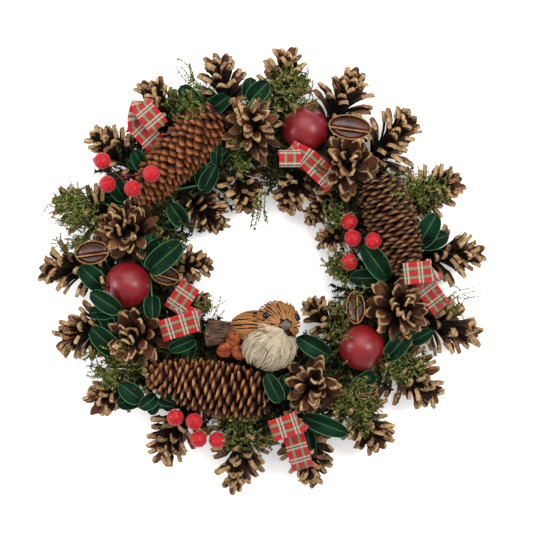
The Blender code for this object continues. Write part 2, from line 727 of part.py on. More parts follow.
def robin():
    """Fibre wound to a body and a head, with breast, beak, eyes and tail let into it."""
    towards_beak = BEAK - HEAD
    body = ribbed_ball("robin_body", BODY, BODY_SIZE, "fibre", 12, 7, FIBRE_RELIEF, towards_beak)
    head = ribbed_ball("head", HEAD, [HEAD_RADIUS] * 3, "fibre", 14, 8, FIBRE_RELIEF, towards_beak)
    back = ribbed_ball("back", BACK, BACK_SIZE, "fibre", 12, 7, FIBRE_RELIEF, Vector((1, 0, 0.4)))
    combine(body, [head, back], "UNION")
    for grow, keep in ((GAP, False), (0, True)):
        breast = ribbed_ball("robin_breast", BREAST, [s + grow for s in BREAST_SIZE], "cream", 20, 7,
                             STRAW_RELIEF, BREAST_POLE)
        bm = bmesh.new()
        bmesh.ops.create_cone(bm, cap_ends=True, segments=6, radius1=BEAK_RADIUS + grow,
                              radius2=BEAK_TIP_RADIUS + grow, depth=BEAK_LENGTH + 2 * grow)
        beak = new_object("robin_beak", bm, "horn", along(BEAK - towards_beak.normalized() * MM, BEAK + towards_beak))
        eyes = []
        for name, (x, y) in EYES.items():
            flat = Vector((x * MM - HEAD.x, y * MM - HEAD.y, 0))
            height = math.sqrt(HEAD_RADIUS**2 - flat.length_squared)
            eyes.append(ball(name, HEAD + flat + UP * height, [EYE_RADIUS + grow] * 3, "bead", 8, 6))
        tail = []
        for fan in TAIL_FANS:
            bm = bmesh.new()
            bmesh.ops.create_cone(bm, cap_ends=True, segments=6, radius1=TAIL_ROOT_RADIUS + grow,
                                  radius2=TAIL_TIP_RADIUS + grow, depth=TAIL_LENGTH + 2 * grow)
            bm.transform(Matrix.Diagonal((TAIL_THINNESS, 1, 1, 1)))
            turn = Matrix.Rotation(math.radians(fan), 4, "Z") @ Matrix.Rotation(math.radians(-90), 4, "Y")
            half = turn @ Matrix.Translation((0, 0, TAIL_LENGTH / 2))
            start = TAIL_ROOT + TAIL_STAGGER * fan
            tail.append(new_object("robin_tail", bm, "bark", Matrix.Translation(start) @ half))
        combine(tail[0], tail[1:], "UNION")
        pieces = [breast, beak, tail[0], *eyes]
        if not keep:
            combine(body, pieces, "DIFFERENCE", "MANIFOLD")
            continue
        for piece, name in zip(pieces, ("robin_breast", "robin_beak", "robin_tail", *EYES)):
            piece.name = name
            claim(piece)
    claim(body)


def seed_capsule():
    """A dried capsule opened into three valves."""
    pieces = [ball("seed_capsule", CAPSULE, [CAPSULE_HEART] * 3, "pod", 6, 5)]
    for turn in VALVE_TURNS:
        rotation = Matrix.Rotation(math.radians(turn), 4, "Z")
        centre = CAPSULE + rotation @ VALVE_PLACE
        pieces.append(ball("valve", centre, VALVE_SIZE, "pod", 6, 5, rotation))
    combine(pieces[0], pieces[1:], "UNION")
    claim(pieces[0])


def settle_trims():
    """The light pieces that lie on the cones come down onto them."""
    trims = [obj for obj in collection.objects if obj.name.startswith(("ribbon", "seed_pod", "seed_capsule"))]
    for trim in sorted(trims, key=lambda obj: obj.name):
        lower(trim, TRIM_DROP)


def split_faces():
    """Gives every face of the finished pieces one way to be read, as flat triangles."""
    for obj in collection.objects:
        bm = bmesh.new()
        bm.from_mesh(obj.data)
        bmesh.ops.triangulate(bm, faces=bm.faces)
        bm.to_mesh(obj.data)
        bm.free()
        shaded(obj.data)


def stand_on_origin():
    """Sets the middle of the wreath's box over the origin and its lowest point on the ground."""
    anchor = bpy.data.objects.new("wreath_origin", None)
    collection.objects.link(anchor)
    meshes = [obj for obj in collection.objects if obj.type == "MESH"]
    bpy.context.view_layer.update()
    points = [obj.matrix_world @ v.co for obj in meshes for v in obj.data.vertices]
    low, high = box_of(points)
    for obj in meshes:
        obj.parent = anchor
    anchor.location = (-(low.x + high.x) / 2, -(low.y + high.y) / 2, -low.z)


clear_scene()
straw_ring()
reserve_cores()
apples()
robin()
seed_capsule()
ribbons()
pods()
berry_picks()
leaf_sprays()
spruce_cones()
pine_cones()
outer_cones()
settle_trims()
split_faces()
stand_on_origin()
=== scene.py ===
import math
import random

import bmesh
import bpy
from mathutils import Matrix, Vector, noise
from mathutils.bvhtree import BVHTree


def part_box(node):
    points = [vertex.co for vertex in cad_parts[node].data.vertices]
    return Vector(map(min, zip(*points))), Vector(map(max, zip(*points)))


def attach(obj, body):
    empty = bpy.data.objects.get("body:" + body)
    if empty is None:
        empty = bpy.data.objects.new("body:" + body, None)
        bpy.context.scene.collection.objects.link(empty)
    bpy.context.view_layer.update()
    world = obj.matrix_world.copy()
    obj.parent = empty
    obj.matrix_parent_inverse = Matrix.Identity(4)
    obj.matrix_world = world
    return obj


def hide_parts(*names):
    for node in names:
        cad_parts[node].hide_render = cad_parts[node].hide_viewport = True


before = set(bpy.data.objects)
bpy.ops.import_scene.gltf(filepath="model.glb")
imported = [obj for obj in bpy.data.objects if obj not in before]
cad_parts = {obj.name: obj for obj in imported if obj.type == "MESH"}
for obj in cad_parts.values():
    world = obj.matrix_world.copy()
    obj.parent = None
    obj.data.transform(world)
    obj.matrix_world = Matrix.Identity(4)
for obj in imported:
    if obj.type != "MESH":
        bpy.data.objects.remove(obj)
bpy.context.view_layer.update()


# The straw ring. A wreath maker's base: straw bundled round a hoop, wound with brown cord and
# pressed a little flat underneath. Everything else is wired or glued to it.
MM = 0.001
UP = Vector((0, 0, 1))
STUDIO_SHARE = 0.55
CENTRE = Vector((2.0172, 0.5847, 0)) * MM
RING_RADIUS = 107 * MM
RING_TUBE = 15.1 * MM
RING_Z = 14.5 * MM
RING_SIDES = 20
RING_STEPS = 72
STRAWS = 300
STRAW_RADIUS = 0.85 * MM
CORD_TURNS = 34
CORD_RADIUS = 0.75 * MM


def paint(red, green, blue):
    """A shade given as screen values from 0 to 255, as the shader takes it under the studio light."""
    shades = []
    for share in (red / 255, green / 255, blue / 255):
        linear = share / 12.92 if share <= 0.04045 else ((share + 0.055) / 1.055) ** 2.4
        shades.append(STUDIO_SHARE * linear)
    return (*shades, 1)


def add(tree, kind, values):
    """A node with its settings, and its inputs given as values or as the sockets that feed them."""
    made = tree.nodes.new("ShaderNode" + kind)
    for key, value in values.items():
        if isinstance(key, str) and key not in made.inputs:
            setattr(made, key, value)
        elif isinstance(value, bpy.types.NodeSocket):
            tree.links.new(value, made.inputs[key])
        else:
            made.inputs[key].default_value = value
    return made


def sums(tree, operation, first, second=0.0, third=0.0):
    return add(tree, "Math", {"operation": operation, 0: first, 1: second, 2: third}).outputs[0]


def mixed(tree, share, first, second, how="MIX"):
    values = {"data_type": "RGBA", "blend_type": how, 0: share, 6: first, 7: second}
    return add(tree, "Mix", values).outputs[2]


def stepped(tree, value, low, high):
    """0 below the low value, 1 above the high one, smooth between them."""
    values = {"interpolation_type": "SMOOTHSTEP", "Value": value, "From Min": low, "From Max": high}
    return add(tree, "MapRange", values).outputs[0]


def drawn_out(tree, vector, stretch, scale, detail):
    """Noise drawn out into streaks along one way."""
    mapped = add(tree, "Mapping", {"Vector": vector, "Scale": stretch}).outputs[0]
    return add(tree, "TexNoise", {"Vector": mapped, "Scale": scale, "Detail": detail}).outputs[0]


def natural_grain():
    """A node group: two shades mottled at a coarse and a fine scale, and the height of the fine one."""
    tree = bpy.data.node_groups.new("natural_grain", "ShaderNodeTree")
    for name, kind in (("Vector", "Vector"), ("Dark", "Color"), ("Light", "Color"),
                       ("Scale", "Float"), ("Fine", "Float"), ("Contrast", "Float")):
        tree.interface.new_socket(name, in_out="INPUT", socket_type="NodeSocket" + kind)
    tree.interface.new_socket("Color", in_out="OUTPUT", socket_type="NodeSocketColor")
    tree.interface.new_socket("Height", in_out="OUTPUT", socket_type="NodeSocketFloat")
    into = tree.nodes.new("NodeGroupInput").outputs
    out = tree.nodes.new("NodeGroupOutput").inputs
    coarse = add(tree, "TexNoise", {"Vector": into["Vector"], "Scale": into["Scale"], "Detail": 4.0})
    fine = add(tree, "TexNoise", {"Vector": into["Vector"], "Scale": into["Fine"], "Detail": 3.0})
    both = sums(tree, "MULTIPLY_ADD", coarse.outputs[0], 0.65, sums(tree, "MULTIPLY", fine.outputs[0], 0.35))
    spread = sums(tree, "MULTIPLY_ADD", sums(tree, "SUBTRACT", both, 0.5), into["Contrast"], 0.5)
    share = add(tree, "Clamp", {"Value": spread}).outputs[0]
    tree.links.new(mixed(tree, share, into["Dark"], into["Light"]), out["Color"])
    tree.links.new(fine.outputs[0], out["Height"])
    return tree


GRAIN = natural_grain()


def grained(tree, vector, dark, light, scale, fine, contrast=3.0):
    """The grain group in a material, with its own shades and scales."""
    made = add(tree, "Group", {"node_tree": GRAIN})
    tree.links.new(vector, made.inputs["Vector"])
    for name, value in (("Dark", dark), ("Light", light), ("Scale", scale), ("Fine", fine),
                        ("Contrast", contrast)):
        made.inputs[name].default_value = value
    return made.outputs["Color"], made.outputs["Height"]


def new_finish(name, roughness, shine=0.12):
    """A material, its tree, its shader, and the place and the pattern coordinates of a surface."""
    material = bpy.data.materials.new(name)
    material.use_nodes = True
    tree = material.node_tree
    shader = tree.nodes["Principled BSDF"]
    shader.inputs["Roughness"].default_value = roughness
    shader.inputs["Specular IOR Level"].default_value = shine
    where = tree.nodes.new("ShaderNodeTexCoord")
    return material, tree, shader, where.outputs["Object"], where.outputs["UV"]


def raised(tree, shader, height, distance, strength=1.0):
    bump = add(tree, "Bump", {"Height": height, "Distance": distance, "Strength": strength})
    tree.links.new(bump.outputs[0], shader.inputs["Normal"])


def grained_finish(name, roughness, dark, light, scale, fine, relief, contrast=3.0, shine=0.12):
    """A material of two mottled shades, with its fine grain raised by the relief."""
    material, tree, shader, place, _pattern = new_finish(name, roughness, shine)
    colour, height = grained(tree, place, dark, light, scale, fine, contrast)
    tree.links.new(colour, shader.inputs["Base Color"])
    raised(tree, shader, height, relief)
    return material


def sheened(material, weight, roughness):
    inputs = material.node_tree.nodes["Principled BSDF"].inputs
    inputs["Sheen Weight"].default_value = weight
    inputs["Sheen Roughness"].default_value = roughness
    return material


def template(bm, name):
    """Keeps a small shape as a mesh, to be set many times."""
    bmesh.ops.recalc_face_normals(bm, faces=bm.faces)
    mesh = bpy.data.meshes.new(name)
    bm.to_mesh(mesh)
    bm.free()
    return mesh


def laid(bm, shape, stations, layer=0, shade=None):
    """Adds a shape that runs from 0 to 1 in its y, laid along stations of place, side and upward."""
    copy = shape.copy()
    if shade is not None:
        for corner in copy.uv_layers[0].data:
            corner.uv.x += shade
    last = len(stations) - 1
    for vertex in copy.vertices:
        along = min(max(vertex.co.y, 0), 1) * last
        number = min(int(along), last - 1)
        part = along - number
        here, there = stations[number], stations[number + 1]
        place, side, upward = (a.lerp(b, part) for a, b in zip(here, there))
        vertex.co = place + side * vertex.co.x + upward * vertex.co.z
    for face in copy.polygons:
        face.material_index = layer
    bm.from_mesh(copy)
    bpy.data.meshes.remove(copy)


def path(points, width, height, upward=UP):
    """Stations along points, each with its side and its upward at right angles to the way."""
    stations = []
    for number, point in enumerate(points):
        before = points[max(number - 1, 0)]
        after = points[min(number + 1, len(points) - 1)]
        ahead = (after - before).normalized()
        side = ahead.cross(upward).normalized()
        stations.append((point, side * width, side.cross(ahead) * height))
    return stations


def tube(sides, cuts, taper=1.0):
    """A closed rod of radius 1 from 0 to 1 in y, thinner at its end by the taper."""
    bm = bmesh.new()
    bmesh.ops.create_cone(bm, cap_ends=True, segments=sides, radius1=1, radius2=taper, depth=1)
    if cuts:
        long_edges = [e for e in bm.edges if abs(e.verts[0].co.z - e.verts[1].co.z) > 0.5]
        bmesh.ops.subdivide_edges(bm, edges=long_edges, cuts=cuts)
    bm.transform(Matrix.Rotation(math.radians(-90), 4, "X") @ Matrix.Translation((0, 0, 0.5)))
    return template(bm, "rod")


def new_piece(name, bm, finishes, nodes=(), sharp=45):
    """The finished piece: it rides on the wreath and stands for its nodes."""
    for vertex in bm.verts:
        vertex.co.z = max(vertex.co.z, 0)
    bmesh.ops.recalc_face_normals(bm, faces=bm.faces)
    if bm.calc_volume(signed=True) < 0:
        bmesh.ops.reverse_faces(bm, faces=bm.faces)
    mesh = bpy.data.meshes.new(name)
    bm.to_mesh(mesh)
    bm.free()
    mesh.shade_smooth()
    mesh.set_sharp_from_angle(angle=math.radians(sharp))
    for finish in finishes:
        mesh.materials.append(finish)
    made = bpy.data.objects.new(name, mesh)
    bpy.context.scene.collection.objects.link(made)
    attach(made, "root")
    if nodes:
        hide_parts(*nodes)
    return made


def on_ring(angle, distance, z):
    turn = math.radians(angle)
    return CENTRE + Vector((distance * math.cos(turn), distance * math.sin(turn), z))


def on_tube(angle, around, height):
    """A place on the ring's skin, never below the ground it lies on, and the skin's outward way."""
    outward = on_ring(angle, 1, 0) - CENTRE
    skin = outward * math.cos(around) + UP * math.sin(around)
    place = CENTRE + outward * RING_RADIUS + UP * RING_Z + skin * height
    place.z = max(place.z, STRAW_RADIUS)
    return place, skin


def straw_ring():
    draw = random.Random(1)
    bm = bmesh.new()
    bmesh.ops.create_circle(bm, segments=RING_SIDES, radius=RING_TUBE - STRAW_RADIUS)
    bm.transform(Matrix.Translation((RING_RADIUS, 0, 0)) @ Matrix.Rotation(math.radians(90), 4, "X"))
    bmesh.ops.spin(bm, geom=bm.edges[:], cent=(0, 0, 0), axis=UP, angle=math.tau, steps=RING_STEPS,
                   use_merge=True)
    bmesh.ops.remove_doubles(bm, verts=bm.verts, dist=0.01 * MM)
    for vertex in bm.verts:
        vertex.co += CENTRE + UP * RING_Z
        vertex.co.z = max(vertex.co.z, 0)
    straw = tube(5, 7)
    for _ in range(STRAWS):
        start = draw.uniform(0, 360)
        sweep = draw.uniform(30, 55)
        around = draw.uniform(0, math.tau)
        drift = draw.uniform(-0.12, 0.12)
        points = []
        for step in range(8):
            share = step / 7
            height = RING_TUBE - 0.5 * MM + draw.uniform(-0.3, 0.2) * MM
            points.append(on_tube(start + sweep * share, around + drift * share, height)[0])
        laid(bm, straw, path(points, STRAW_RADIUS, STRAW_RADIUS))
    cord = tube(5, 15)
    for turn in range(CORD_TURNS):
        angle = 360 / CORD_TURNS * turn
        points = []
        for step in range(17):
            around = math.tau * step / 16
            place, skin = on_tube(angle + 2.5 * step / 16, around, RING_TUBE + STRAW_RADIUS * 0.6)
            points.append(place)
        outward = on_ring(angle, 1, 0) - CENTRE
        laid(bm, cord, path(points, CORD_RADIUS, CORD_RADIUS, outward.cross(UP)), 1)
    # The straw and the cord are a dark brown that is partly their own aged colour and partly painted shade for the
    # gaps between the pieces laid over the ring.
    finishes = [
        grained_finish("straw", 0.75, paint(34, 24, 15), paint(92, 68, 42), 60, 900, 0.3 * MM),
        grained_finish("cord", 0.9, paint(26, 19, 13), paint(60, 44, 30), 300, 2500, 0.3 * MM),
    ]
    return new_piece("straw_ring_wound", bm, finishes, ["straw_ring"])


RING = straw_ring()


# The open pine cones: eighteen wired in pairs round the outside, ten round the hole and six on
# the crest. Dry woody scales stand out of a core, brown on their faces, tan at their ends, and painted
# shade turns the core and the scales' roots near black.
PINE_CORE = 0.2
PINE_SCALE_THICKNESS = 1.5 * MM
OUTER_CONES = [
    (103, 178), (84, 179), (65, 176), (46, 173), (25, 173), (4, 178),
    (-18, 183), (-37, 176), (-57, 174), (-77, 180), (-98, 182), (-119, 179),
    (-141, 181), (-160, 179), (180, 182), (162, 179), (142, 179), (123, 180),
]
OUTER_GIRTH = 29.5 * MM
INNER_CONES = [
    (105, 56, 22), (136, 55, 22), (177, 50, 20), (207, 56, 16), (70, 56, 21),
    (47, 55, 16), (25, 52, 17), (1, 56, 17), (-40, 50, 21), (-86, 58, 19),
]
FRONT_CONES = [
    (-11, 120, 27), (68, 87, 29), (113, -35, 30), (39, -97, 29), (-117, 31, 27), (-110, -59, 27),
]
BUTT_OUT = 16.1 * MM
INNER_BUTT_Z, INNER_TIP_Z = 17 * MM, 24 * MM
OUTER_BUTT_Z, OUTER_TIP_Z = 19 * MM, 32 * MM
INNER_TIP_SHORTER, OUTER_TIP_SHORTER = 4, 5
FRONT_CENTRE_Z, FRONT_BUTT_Z = 53 * MM, 29 * MM
FRONT_LENGTH = 40
FRONT_LEAN = 0.35
FRONT_SCALES, INNER_SCALES, OUTER_SCALES = 44, 46, 54
WIRE_RADIUS = 0.9 * MM
WIRE_PLACE = 0.08
CONE_NODES = ("outer_cones", "inner_cone", "front_cone", "spruce_cone", "straw_ring")
GOLDEN_ANGLE = math.radians(137.508)
GAP = 0.25 * MM

obstacles = []


def stand_in_way(obj, bare=False):
    """Pieces made later keep clear of this one, and moss doesn't lie on it where it is to stay bare."""
    matrix = obj.matrix_world
    points = [matrix @ v.co for v in obj.data.vertices]
    faces = [tuple(p.vertices) for p in obj.data.polygons]
    low = Vector([min(p[i] for p in points) for i in range(3)])
    high = Vector([max(p[i] for p in points) for i in range(3)])
    obstacles.append((BVHTree.FromPolygons(points, faces), low, high, bare))


def open_way(start, end):
    """Whether nothing stands between two places."""
    way = end - start
    length = way.length
    if length < 1e-6:
        return True
    low = [min(start[i], end[i]) for i in range(3)]
    high = [max(start[i], end[i]) for i in range(3)]
    for tree, tree_low, tree_high, _bare in obstacles:
        apart = any(low[i] > tree_high[i] or high[i] < tree_low[i] for i in range(3))
        if not apart and tree.ray_cast(start, way, length + GAP)[0] is not None:
            return False
    return min(start.z, end.z) > GAP


def scale_shape(name, columns, rows, root, arc, swell, cup, keel):
    """A cone scale: a thin plate, narrow at its root, rounded and thicker at its outer end."""
    bm = bmesh.new()
    pattern = bm.loops.layers.uv.new("pattern")
    bmesh.ops.create_grid(bm, x_segments=columns, y_segments=rows, size=0.5)
    bmesh.ops.translate(bm, vec=(0, 0.5, 0), verts=bm.verts)
    bmesh.ops.solidify(bm, geom=bm.faces[:], thickness=0.2)
    middle = sum(v.co.z for v in bm.verts) / len(bm.verts)
    for face in bm.faces:
        for loop in face.loops:
            under = 2 if face.calc_center_median().z < middle - 0.05 else 0
            loop[pattern].uv = (loop.vert.co.x + 0.5 + under, loop.vert.co.y)
    for vertex in bm.verts:
        across, along, under = vertex.co.x * 2, vertex.co.y, vertex.co.z < middle
        half = root + (1 - root) * math.sin(math.pi / 2 * min(along * 1.15, 1)) ** 1.6
        thick = 0.5 + (swell * max(along - 0.7, 0) / 0.3 if under else 0)
        vertex.co.x = across * half / 2
        vertex.co.y = along - arc * across**2 * along**3
        vertex.co.z = (-thick if under else 0.5) + cup * across**2 * along - keel * (1 - abs(across)) * along
    return template(bm, name)


def scale_pattern(tree, pattern):
    """How far across and along a scale, whether on its under side, and a value of the scale's own."""
    u, along = (add(tree, "SeparateXYZ", {0: pattern}).outputs[i] for i in (0, 1))
    number = sums(tree, "FLOOR", sums(tree, "MULTIPLY_ADD", u, 0.25, 0.125))
    under = stepped(tree, sums(tree, "MULTIPLY_ADD", number, -4.0, u), 1.4, 1.6)
    across = sums(tree, "ABSOLUTE", sums(tree, "MULTIPLY_ADD", sums(tree, "FRACT", u), 2.0, -1.0))
    own = add(tree, "TexWhiteNoise", {"noise_dimensions": "1D", "W": number}).outputs["Value"]
    return across, along, under, own


def pine_finish():
    """Brown inside, near black and streaked outside with a tan pad at its end, no two quite alike, with painted shade
    turning each scale near black towards its root.
    """
    material, tree, shader, place, pattern = new_finish("pine_scale", 0.55)
    across, along, under, own = scale_pattern(tree, pattern)
    inner, height = grained(tree, place, paint(46, 27, 19), paint(140, 86, 58), 70, 1100, 4.0)
    outer, _ = grained(tree, place, paint(13, 9, 7), paint(50, 33, 23), 120, 1300, 4.0)
    tan, _ = grained(tree, place, paint(150, 110, 68), paint(232, 194, 140), 300, 1600, 4.0)
    streak = drawn_out(tree, pattern, (9.0, 1.2, 1.0), 2.0, 2.0)
    weathered = mixed(tree, stepped(tree, streak, 0.6, 0.74), outer, paint(104, 74, 50))
    wander = sums(tree, "MULTIPLY_ADD", height, 0.16, sums(tree, "MULTIPLY_ADD", streak, 0.1, -0.13))
    reach = sums(tree, "ADD", along, sums(tree, "MULTIPLY_ADD", own, 0.1, sums(tree, "ADD", wander, -0.06)))
    # Painted shade: each scale darkens to near black towards its root, deep between the scales.
    root = stepped(tree, reach, 0.16, 0.72)
    face = mixed(tree, root, paint(16, 10, 8), mixed(tree, under, inner, weathered))
    pad = stepped(tree, sums(tree, "MULTIPLY_ADD", across, -0.3, reach), 0.69, 0.74)
    rim = sums(tree, "MULTIPLY", stepped(tree, reach, 0.93, 0.99), 0.9)
    tip = sums(tree, "MAXIMUM", sums(tree, "MULTIPLY", pad, under), rim)
    boss = stepped(tree, sums(tree, "ADD", across, sums(tree, "ABSOLUTE", sums(tree, "SUBTRACT", along, 0.88))),
                   0.34, 0.12)
    ended = mixed(tree, sums(tree, "MULTIPLY", boss, under), tan, paint(112, 78, 44))
    aged = mixed(tree, sums(tree, "MULTIPLY", stepped(tree, own, 0.35, 1.0), 0.7), face, paint(20, 13, 10))
    worn = mixed(tree, sums(tree, "MULTIPLY", stepped(tree, own, 0.5, 1.0), 0.4), ended, paint(88, 60, 38))
    tree.links.new(mixed(tree, tip, aged, worn), shader.inputs["Base Color"])
    raised(tree, shader, sums(tree, "ADD", height, streak), 0.5 * MM)
    return material


def cone_core(bm, butt, tip, radius):
    """The spindle that the scales grow from, which the scale finishes paint near black as shade."""
    made = bmesh.ops.create_uvsphere(bm, u_segments=10, v_segments=8, radius=1)["verts"]
    ahead = tip - butt
    turn = UP.rotation_difference(ahead.normalized()).to_matrix().to_4x4()
    size = Matrix.Diagonal((radius, radius, ahead.length / 2, 1))
    bmesh.ops.transform(bm, matrix=Matrix.Translation(butt.lerp(tip, 0.5)) @ turn @ size, verts=made)


def grow(bm, butt, tip, girth, count, form, shapes, draw, scatter=0.2, first=0.05):
    """Scales round a core, each a golden angle on from the last and as long as there is room for."""
    ahead = (tip - butt).normalized()
    length = (tip - butt).length
    across = ahead.orthogonal().normalized()
    turn = draw.uniform(0, math.tau)
    for number in range(count):
        share = (number + 0.5) / count
        core, reach, tilt, bend, width, thickness = form(share, girth)
        outward = Matrix.Rotation(turn + number * GOLDEN_ANGLE, 3, ahead) @ across
        reach *= draw.uniform(0.9, 1.08)
        width *= draw.uniform(0.85, 1.1)
        tilt += draw.uniform(-1, 1) * scatter
        sideways = outward.cross(ahead) * draw.uniform(-1.4, 1.4) * scatter
        root = butt + ahead * length * (first + (0.95 - first) * share) + outward * core
        rolled = ahead + outward.cross(ahead) * draw.gauss(0, 1.2) * scatter
        for shorter in (1, 0.9, 0.8, 0.7, 0.6, 0.5, 0.4):
            points = [root]
            for step in (0.15, 0.5, 0.85):
                angle = tilt + bend * (step - 0.5)
                way = outward * math.cos(angle) + ahead * math.sin(angle) + sideways
                points.append(points[-1] + way.normalized() * reach * shorter / 3)
            side = (points[-1] - points[0]).cross(ahead).normalized() * width * shorter**0.5
            left, right = points[-1] - side * 0.42, points[-1] + side * 0.42
            ways = ((root, points[-1]), (root, left), (root, right), (left, right))
            if all(open_way(*way) for way in ways):
                break
        else:
            continue
        stations = path(points, width * shorter**0.5, thickness, rolled)
        laid(bm, draw.choice(shapes), stations, 0, 4 * draw.randrange(1, 100))


def pine_form(share, girth):
    middle = math.sin(math.pi * (0.1 + 0.8 * share))
    core = girth * PINE_CORE * (1.05 - 0.6 * share)
    reach = girth * (0.8 - 0.14 * share + 0.16 * middle)
    tilt = math.radians(6 + 76 * share)
    return core, reach, tilt, math.radians(-20), girth * 0.27, PINE_SCALE_THICKNESS


def broad_form(share, girth):
    core, reach, tilt, _bend, _width, thickness = pine_form(share, girth)
    return core, reach, tilt, math.radians(8), girth * (0.38 - 0.12 * share), thickness * 0.85


PINE_SHAPES = [
    scale_shape("pine_scale_a", 4, 5, 0.38, 0.3, 1.2, 0.3, 0.7),
    scale_shape("pine_scale_b", 4, 5, 0.32, 0.4, 1.5, 0.5, 1.0),
    scale_shape("pine_scale_c", 4, 5, 0.44, 0.22, 1.0, 0.2, 0.4),
]
BROAD_SHAPES = [
    scale_shape("broad_scale_a", 4, 5, 0.34, 0.3, 0.6, 1.2, 0.2),
    scale_shape("broad_scale_b", 4, 5, 0.3, 0.38, 0.9, 0.8, 0.4),
    scale_shape("broad_scale_c", 4, 5, 0.42, 0.24, 1.1, 0.4, 0.7),
]
PINE = pine_finish()
ROD = tube(6, 0)


def seated(butt, tip):
    """Moves a cone's axis along itself until its butt stands against the ring."""
    ahead = (tip - butt).normalized()
    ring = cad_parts["straw_ring"]
    points = [ring.matrix_world @ v.co for v in ring.data.vertices]
    tree = BVHTree.FromPolygons(points, [tuple(p.vertices) for p in ring.data.polygons])
    distance = tree.ray_cast(butt + ahead * RING_TUBE / 2, -ahead)[3]
    shift = ahead * (RING_TUBE / 2 - distance + 0.4 * MM)
    return butt + shift, tip + shift


def crest_axis(x, y):
    """From the ring's crest through the cone's centre, leaning a little outwards."""
    centre = Vector((x * MM, y * MM, FRONT_CENTRE_Z)) + CENTRE
    flat = (centre - CENTRE).to_2d()
    distance = RING_RADIUS + FRONT_LEAN * (flat.length - RING_RADIUS)
    butt = on_ring(math.degrees(math.atan2(y, x)), distance, FRONT_BUTT_Z)
    return seated(butt, butt + (centre - butt).normalized() * FRONT_LENGTH * MM)


def lone_cone(kind, number, axis, girth, core, count, style, seed, finish, bare=True, spread=()):
    """A cone of its own: its core, its scales, and room kept round it by the pieces made later."""
    bm = bmesh.new()
    cone_core(bm, *axis, girth * core)
    grow(bm, *axis, girth, count, *style, random.Random(seed), *spread)
    made = new_piece(f"{kind}_scaled_{number + 1}", bm, [finish], [f"{kind}_{number + 1}"])
    stand_in_way(made, bare)


for name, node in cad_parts.items():
    if not name.startswith(CONE_NODES):
        stand_in_way(node, not name.startswith("leaf_spray"))
stand_in_way(RING)

# Spruce cones: three long ones lying along the crest, with thin warm brown scales laid like tiles,
# with a painted highlight on the middle of each scale and painted shade at its edges and deep in the
# cone. They are wired down to the ring between the open cones.
SPRUCE_CONES = [
    (-40, 130, -105, 60, 20, 250, 54), (95, 74, 121, -3, 22, 240, 30), (2, -109, -96, -90, 23, 200, 32),
]
SPRUCE_BREADTH = [0.42, 0.42, 0.44]
SPRUCE_Z = 54 * MM
SPRUCE_CORE = 0.6


def spruce_form(lean, broad):
    """The form of a cone whose scales lean towards its tip by so many degrees and are so broad."""
    def form(share, girth):
        taper = math.sin(math.pi * (0.16 + 0.76 * share)) ** 0.55 * (1.06 - 0.2 * share)
        butt_end = max(0.1 - share, 0) / 0.1
        tilt = math.radians(lean + (82 - lean) * max(share - 0.8, 0) / 0.2 - 22 * butt_end)
        core = girth * 0.58 * taper * (1 - 0.3 * butt_end)
        reach = girth * 0.42 * (0.55 + 0.45 * taper) * (1 - 0.45 * butt_end) / math.cos(math.radians(lean))
        return core, reach, tilt, math.radians(20), girth * (broad + 0.1 * taper), 1.1 * MM
    return form


def spruce_finish(name, dark, light, edge):
    """Warm brown, with painted shade near black into the cone and darker at the scale's edges, and a painted
    highlight on the middle of each scale near its end.
    """
    material, tree, shader, place, pattern = new_finish(name, 0.5)
    across, along, _under, own = scale_pattern(tree, pattern)
    warm, height = grained(tree, place, dark, light, 90, 1300, 4.0)
    streak = drawn_out(tree, pattern, (14.0, 1.0, 1.0), 2.0, 2.0)
    reach = sums(tree, "MULTIPLY_ADD", streak, 0.14, sums(tree, "ADD", along, -0.07))
    # Painted shade: near black deep into the cone.
    face = mixed(tree, stepped(tree, reach, 0.5, 0.86), paint(14, 8, 5), warm)
    # Painted highlight: lighter in the middle of each scale near its end.
    painted_highlight = sums(tree, "MULTIPLY", stepped(tree, across, 0.7, 0.1), stepped(tree, reach, 0.7, 0.92))
    lit = mixed(tree, sums(tree, "MULTIPLY", painted_highlight, 0.75), face, edge)
    # Painted shade: darker towards the scale's edges.
    shaded_edges = mixed(tree, sums(tree, "MULTIPLY", stepped(tree, across, 0.6, 1.0), 0.7), lit, dark)
    aged = mixed(tree, sums(tree, "MULTIPLY", stepped(tree, own, 0.3, 1.0), 0.4), shaded_edges, dark)
    tree.links.new(aged, shader.inputs["Base Color"])
    raised(tree, shader, sums(tree, "ADD", height, streak), 0.3 * MM)
    return material


# The third shade of each finish is the colour of the painted highlight.
SPRUCE = [
    spruce_finish("spruce_scale_red", paint(70, 36, 21), paint(142, 80, 46), paint(192, 118, 70)),
    spruce_finish("spruce_scale_dark", paint(54, 32, 21), paint(116, 74, 50), paint(178, 128, 88)),
    spruce_finish("spruce_scale_light", paint(72, 40, 24), paint(150, 94, 58), paint(212, 150, 96)),
]
SPRUCE_SHAPES = [
    scale_shape("spruce_scale_a", 4, 4, 0.5, 0.34, 0.5, 1.0, 1.5),
    scale_shape("spruce_scale_b", 4, 4, 0.45, 0.42, 0.3, 1.6, 1.9),
    scale_shape("spruce_scale_c", 4, 4, 0.5, 0.38, 0.6, 0.3, 1.2),
]
for number, (x, y, tip_x, tip_y, girth, count, lean) in enumerate(SPRUCE_CONES):
    butt = Vector((x * MM, y * MM, SPRUCE_Z)) + CENTRE
    tip = Vector((tip_x * MM, tip_y * MM, SPRUCE_Z)) + CENTRE
    style = (spruce_form(lean, SPRUCE_BREADTH[number]), SPRUCE_SHAPES)
    lone_cone("spruce_cone", number, (butt, tip), girth * MM, SPRUCE_CORE, count, style, 40 + number,
              SPRUCE[number], spread=(0.08, -0.03))

for number, (x, y, girth) in enumerate(FRONT_CONES):
    style = (pine_form, PINE_SHAPES) if number == 0 else (broad_form, BROAD_SHAPES)
    lone_cone("front_cone", number, crest_axis(x, y), girth * MM, PINE_CORE, FRONT_SCALES, style,
              60 + number, PINE, spread=(0.28,))

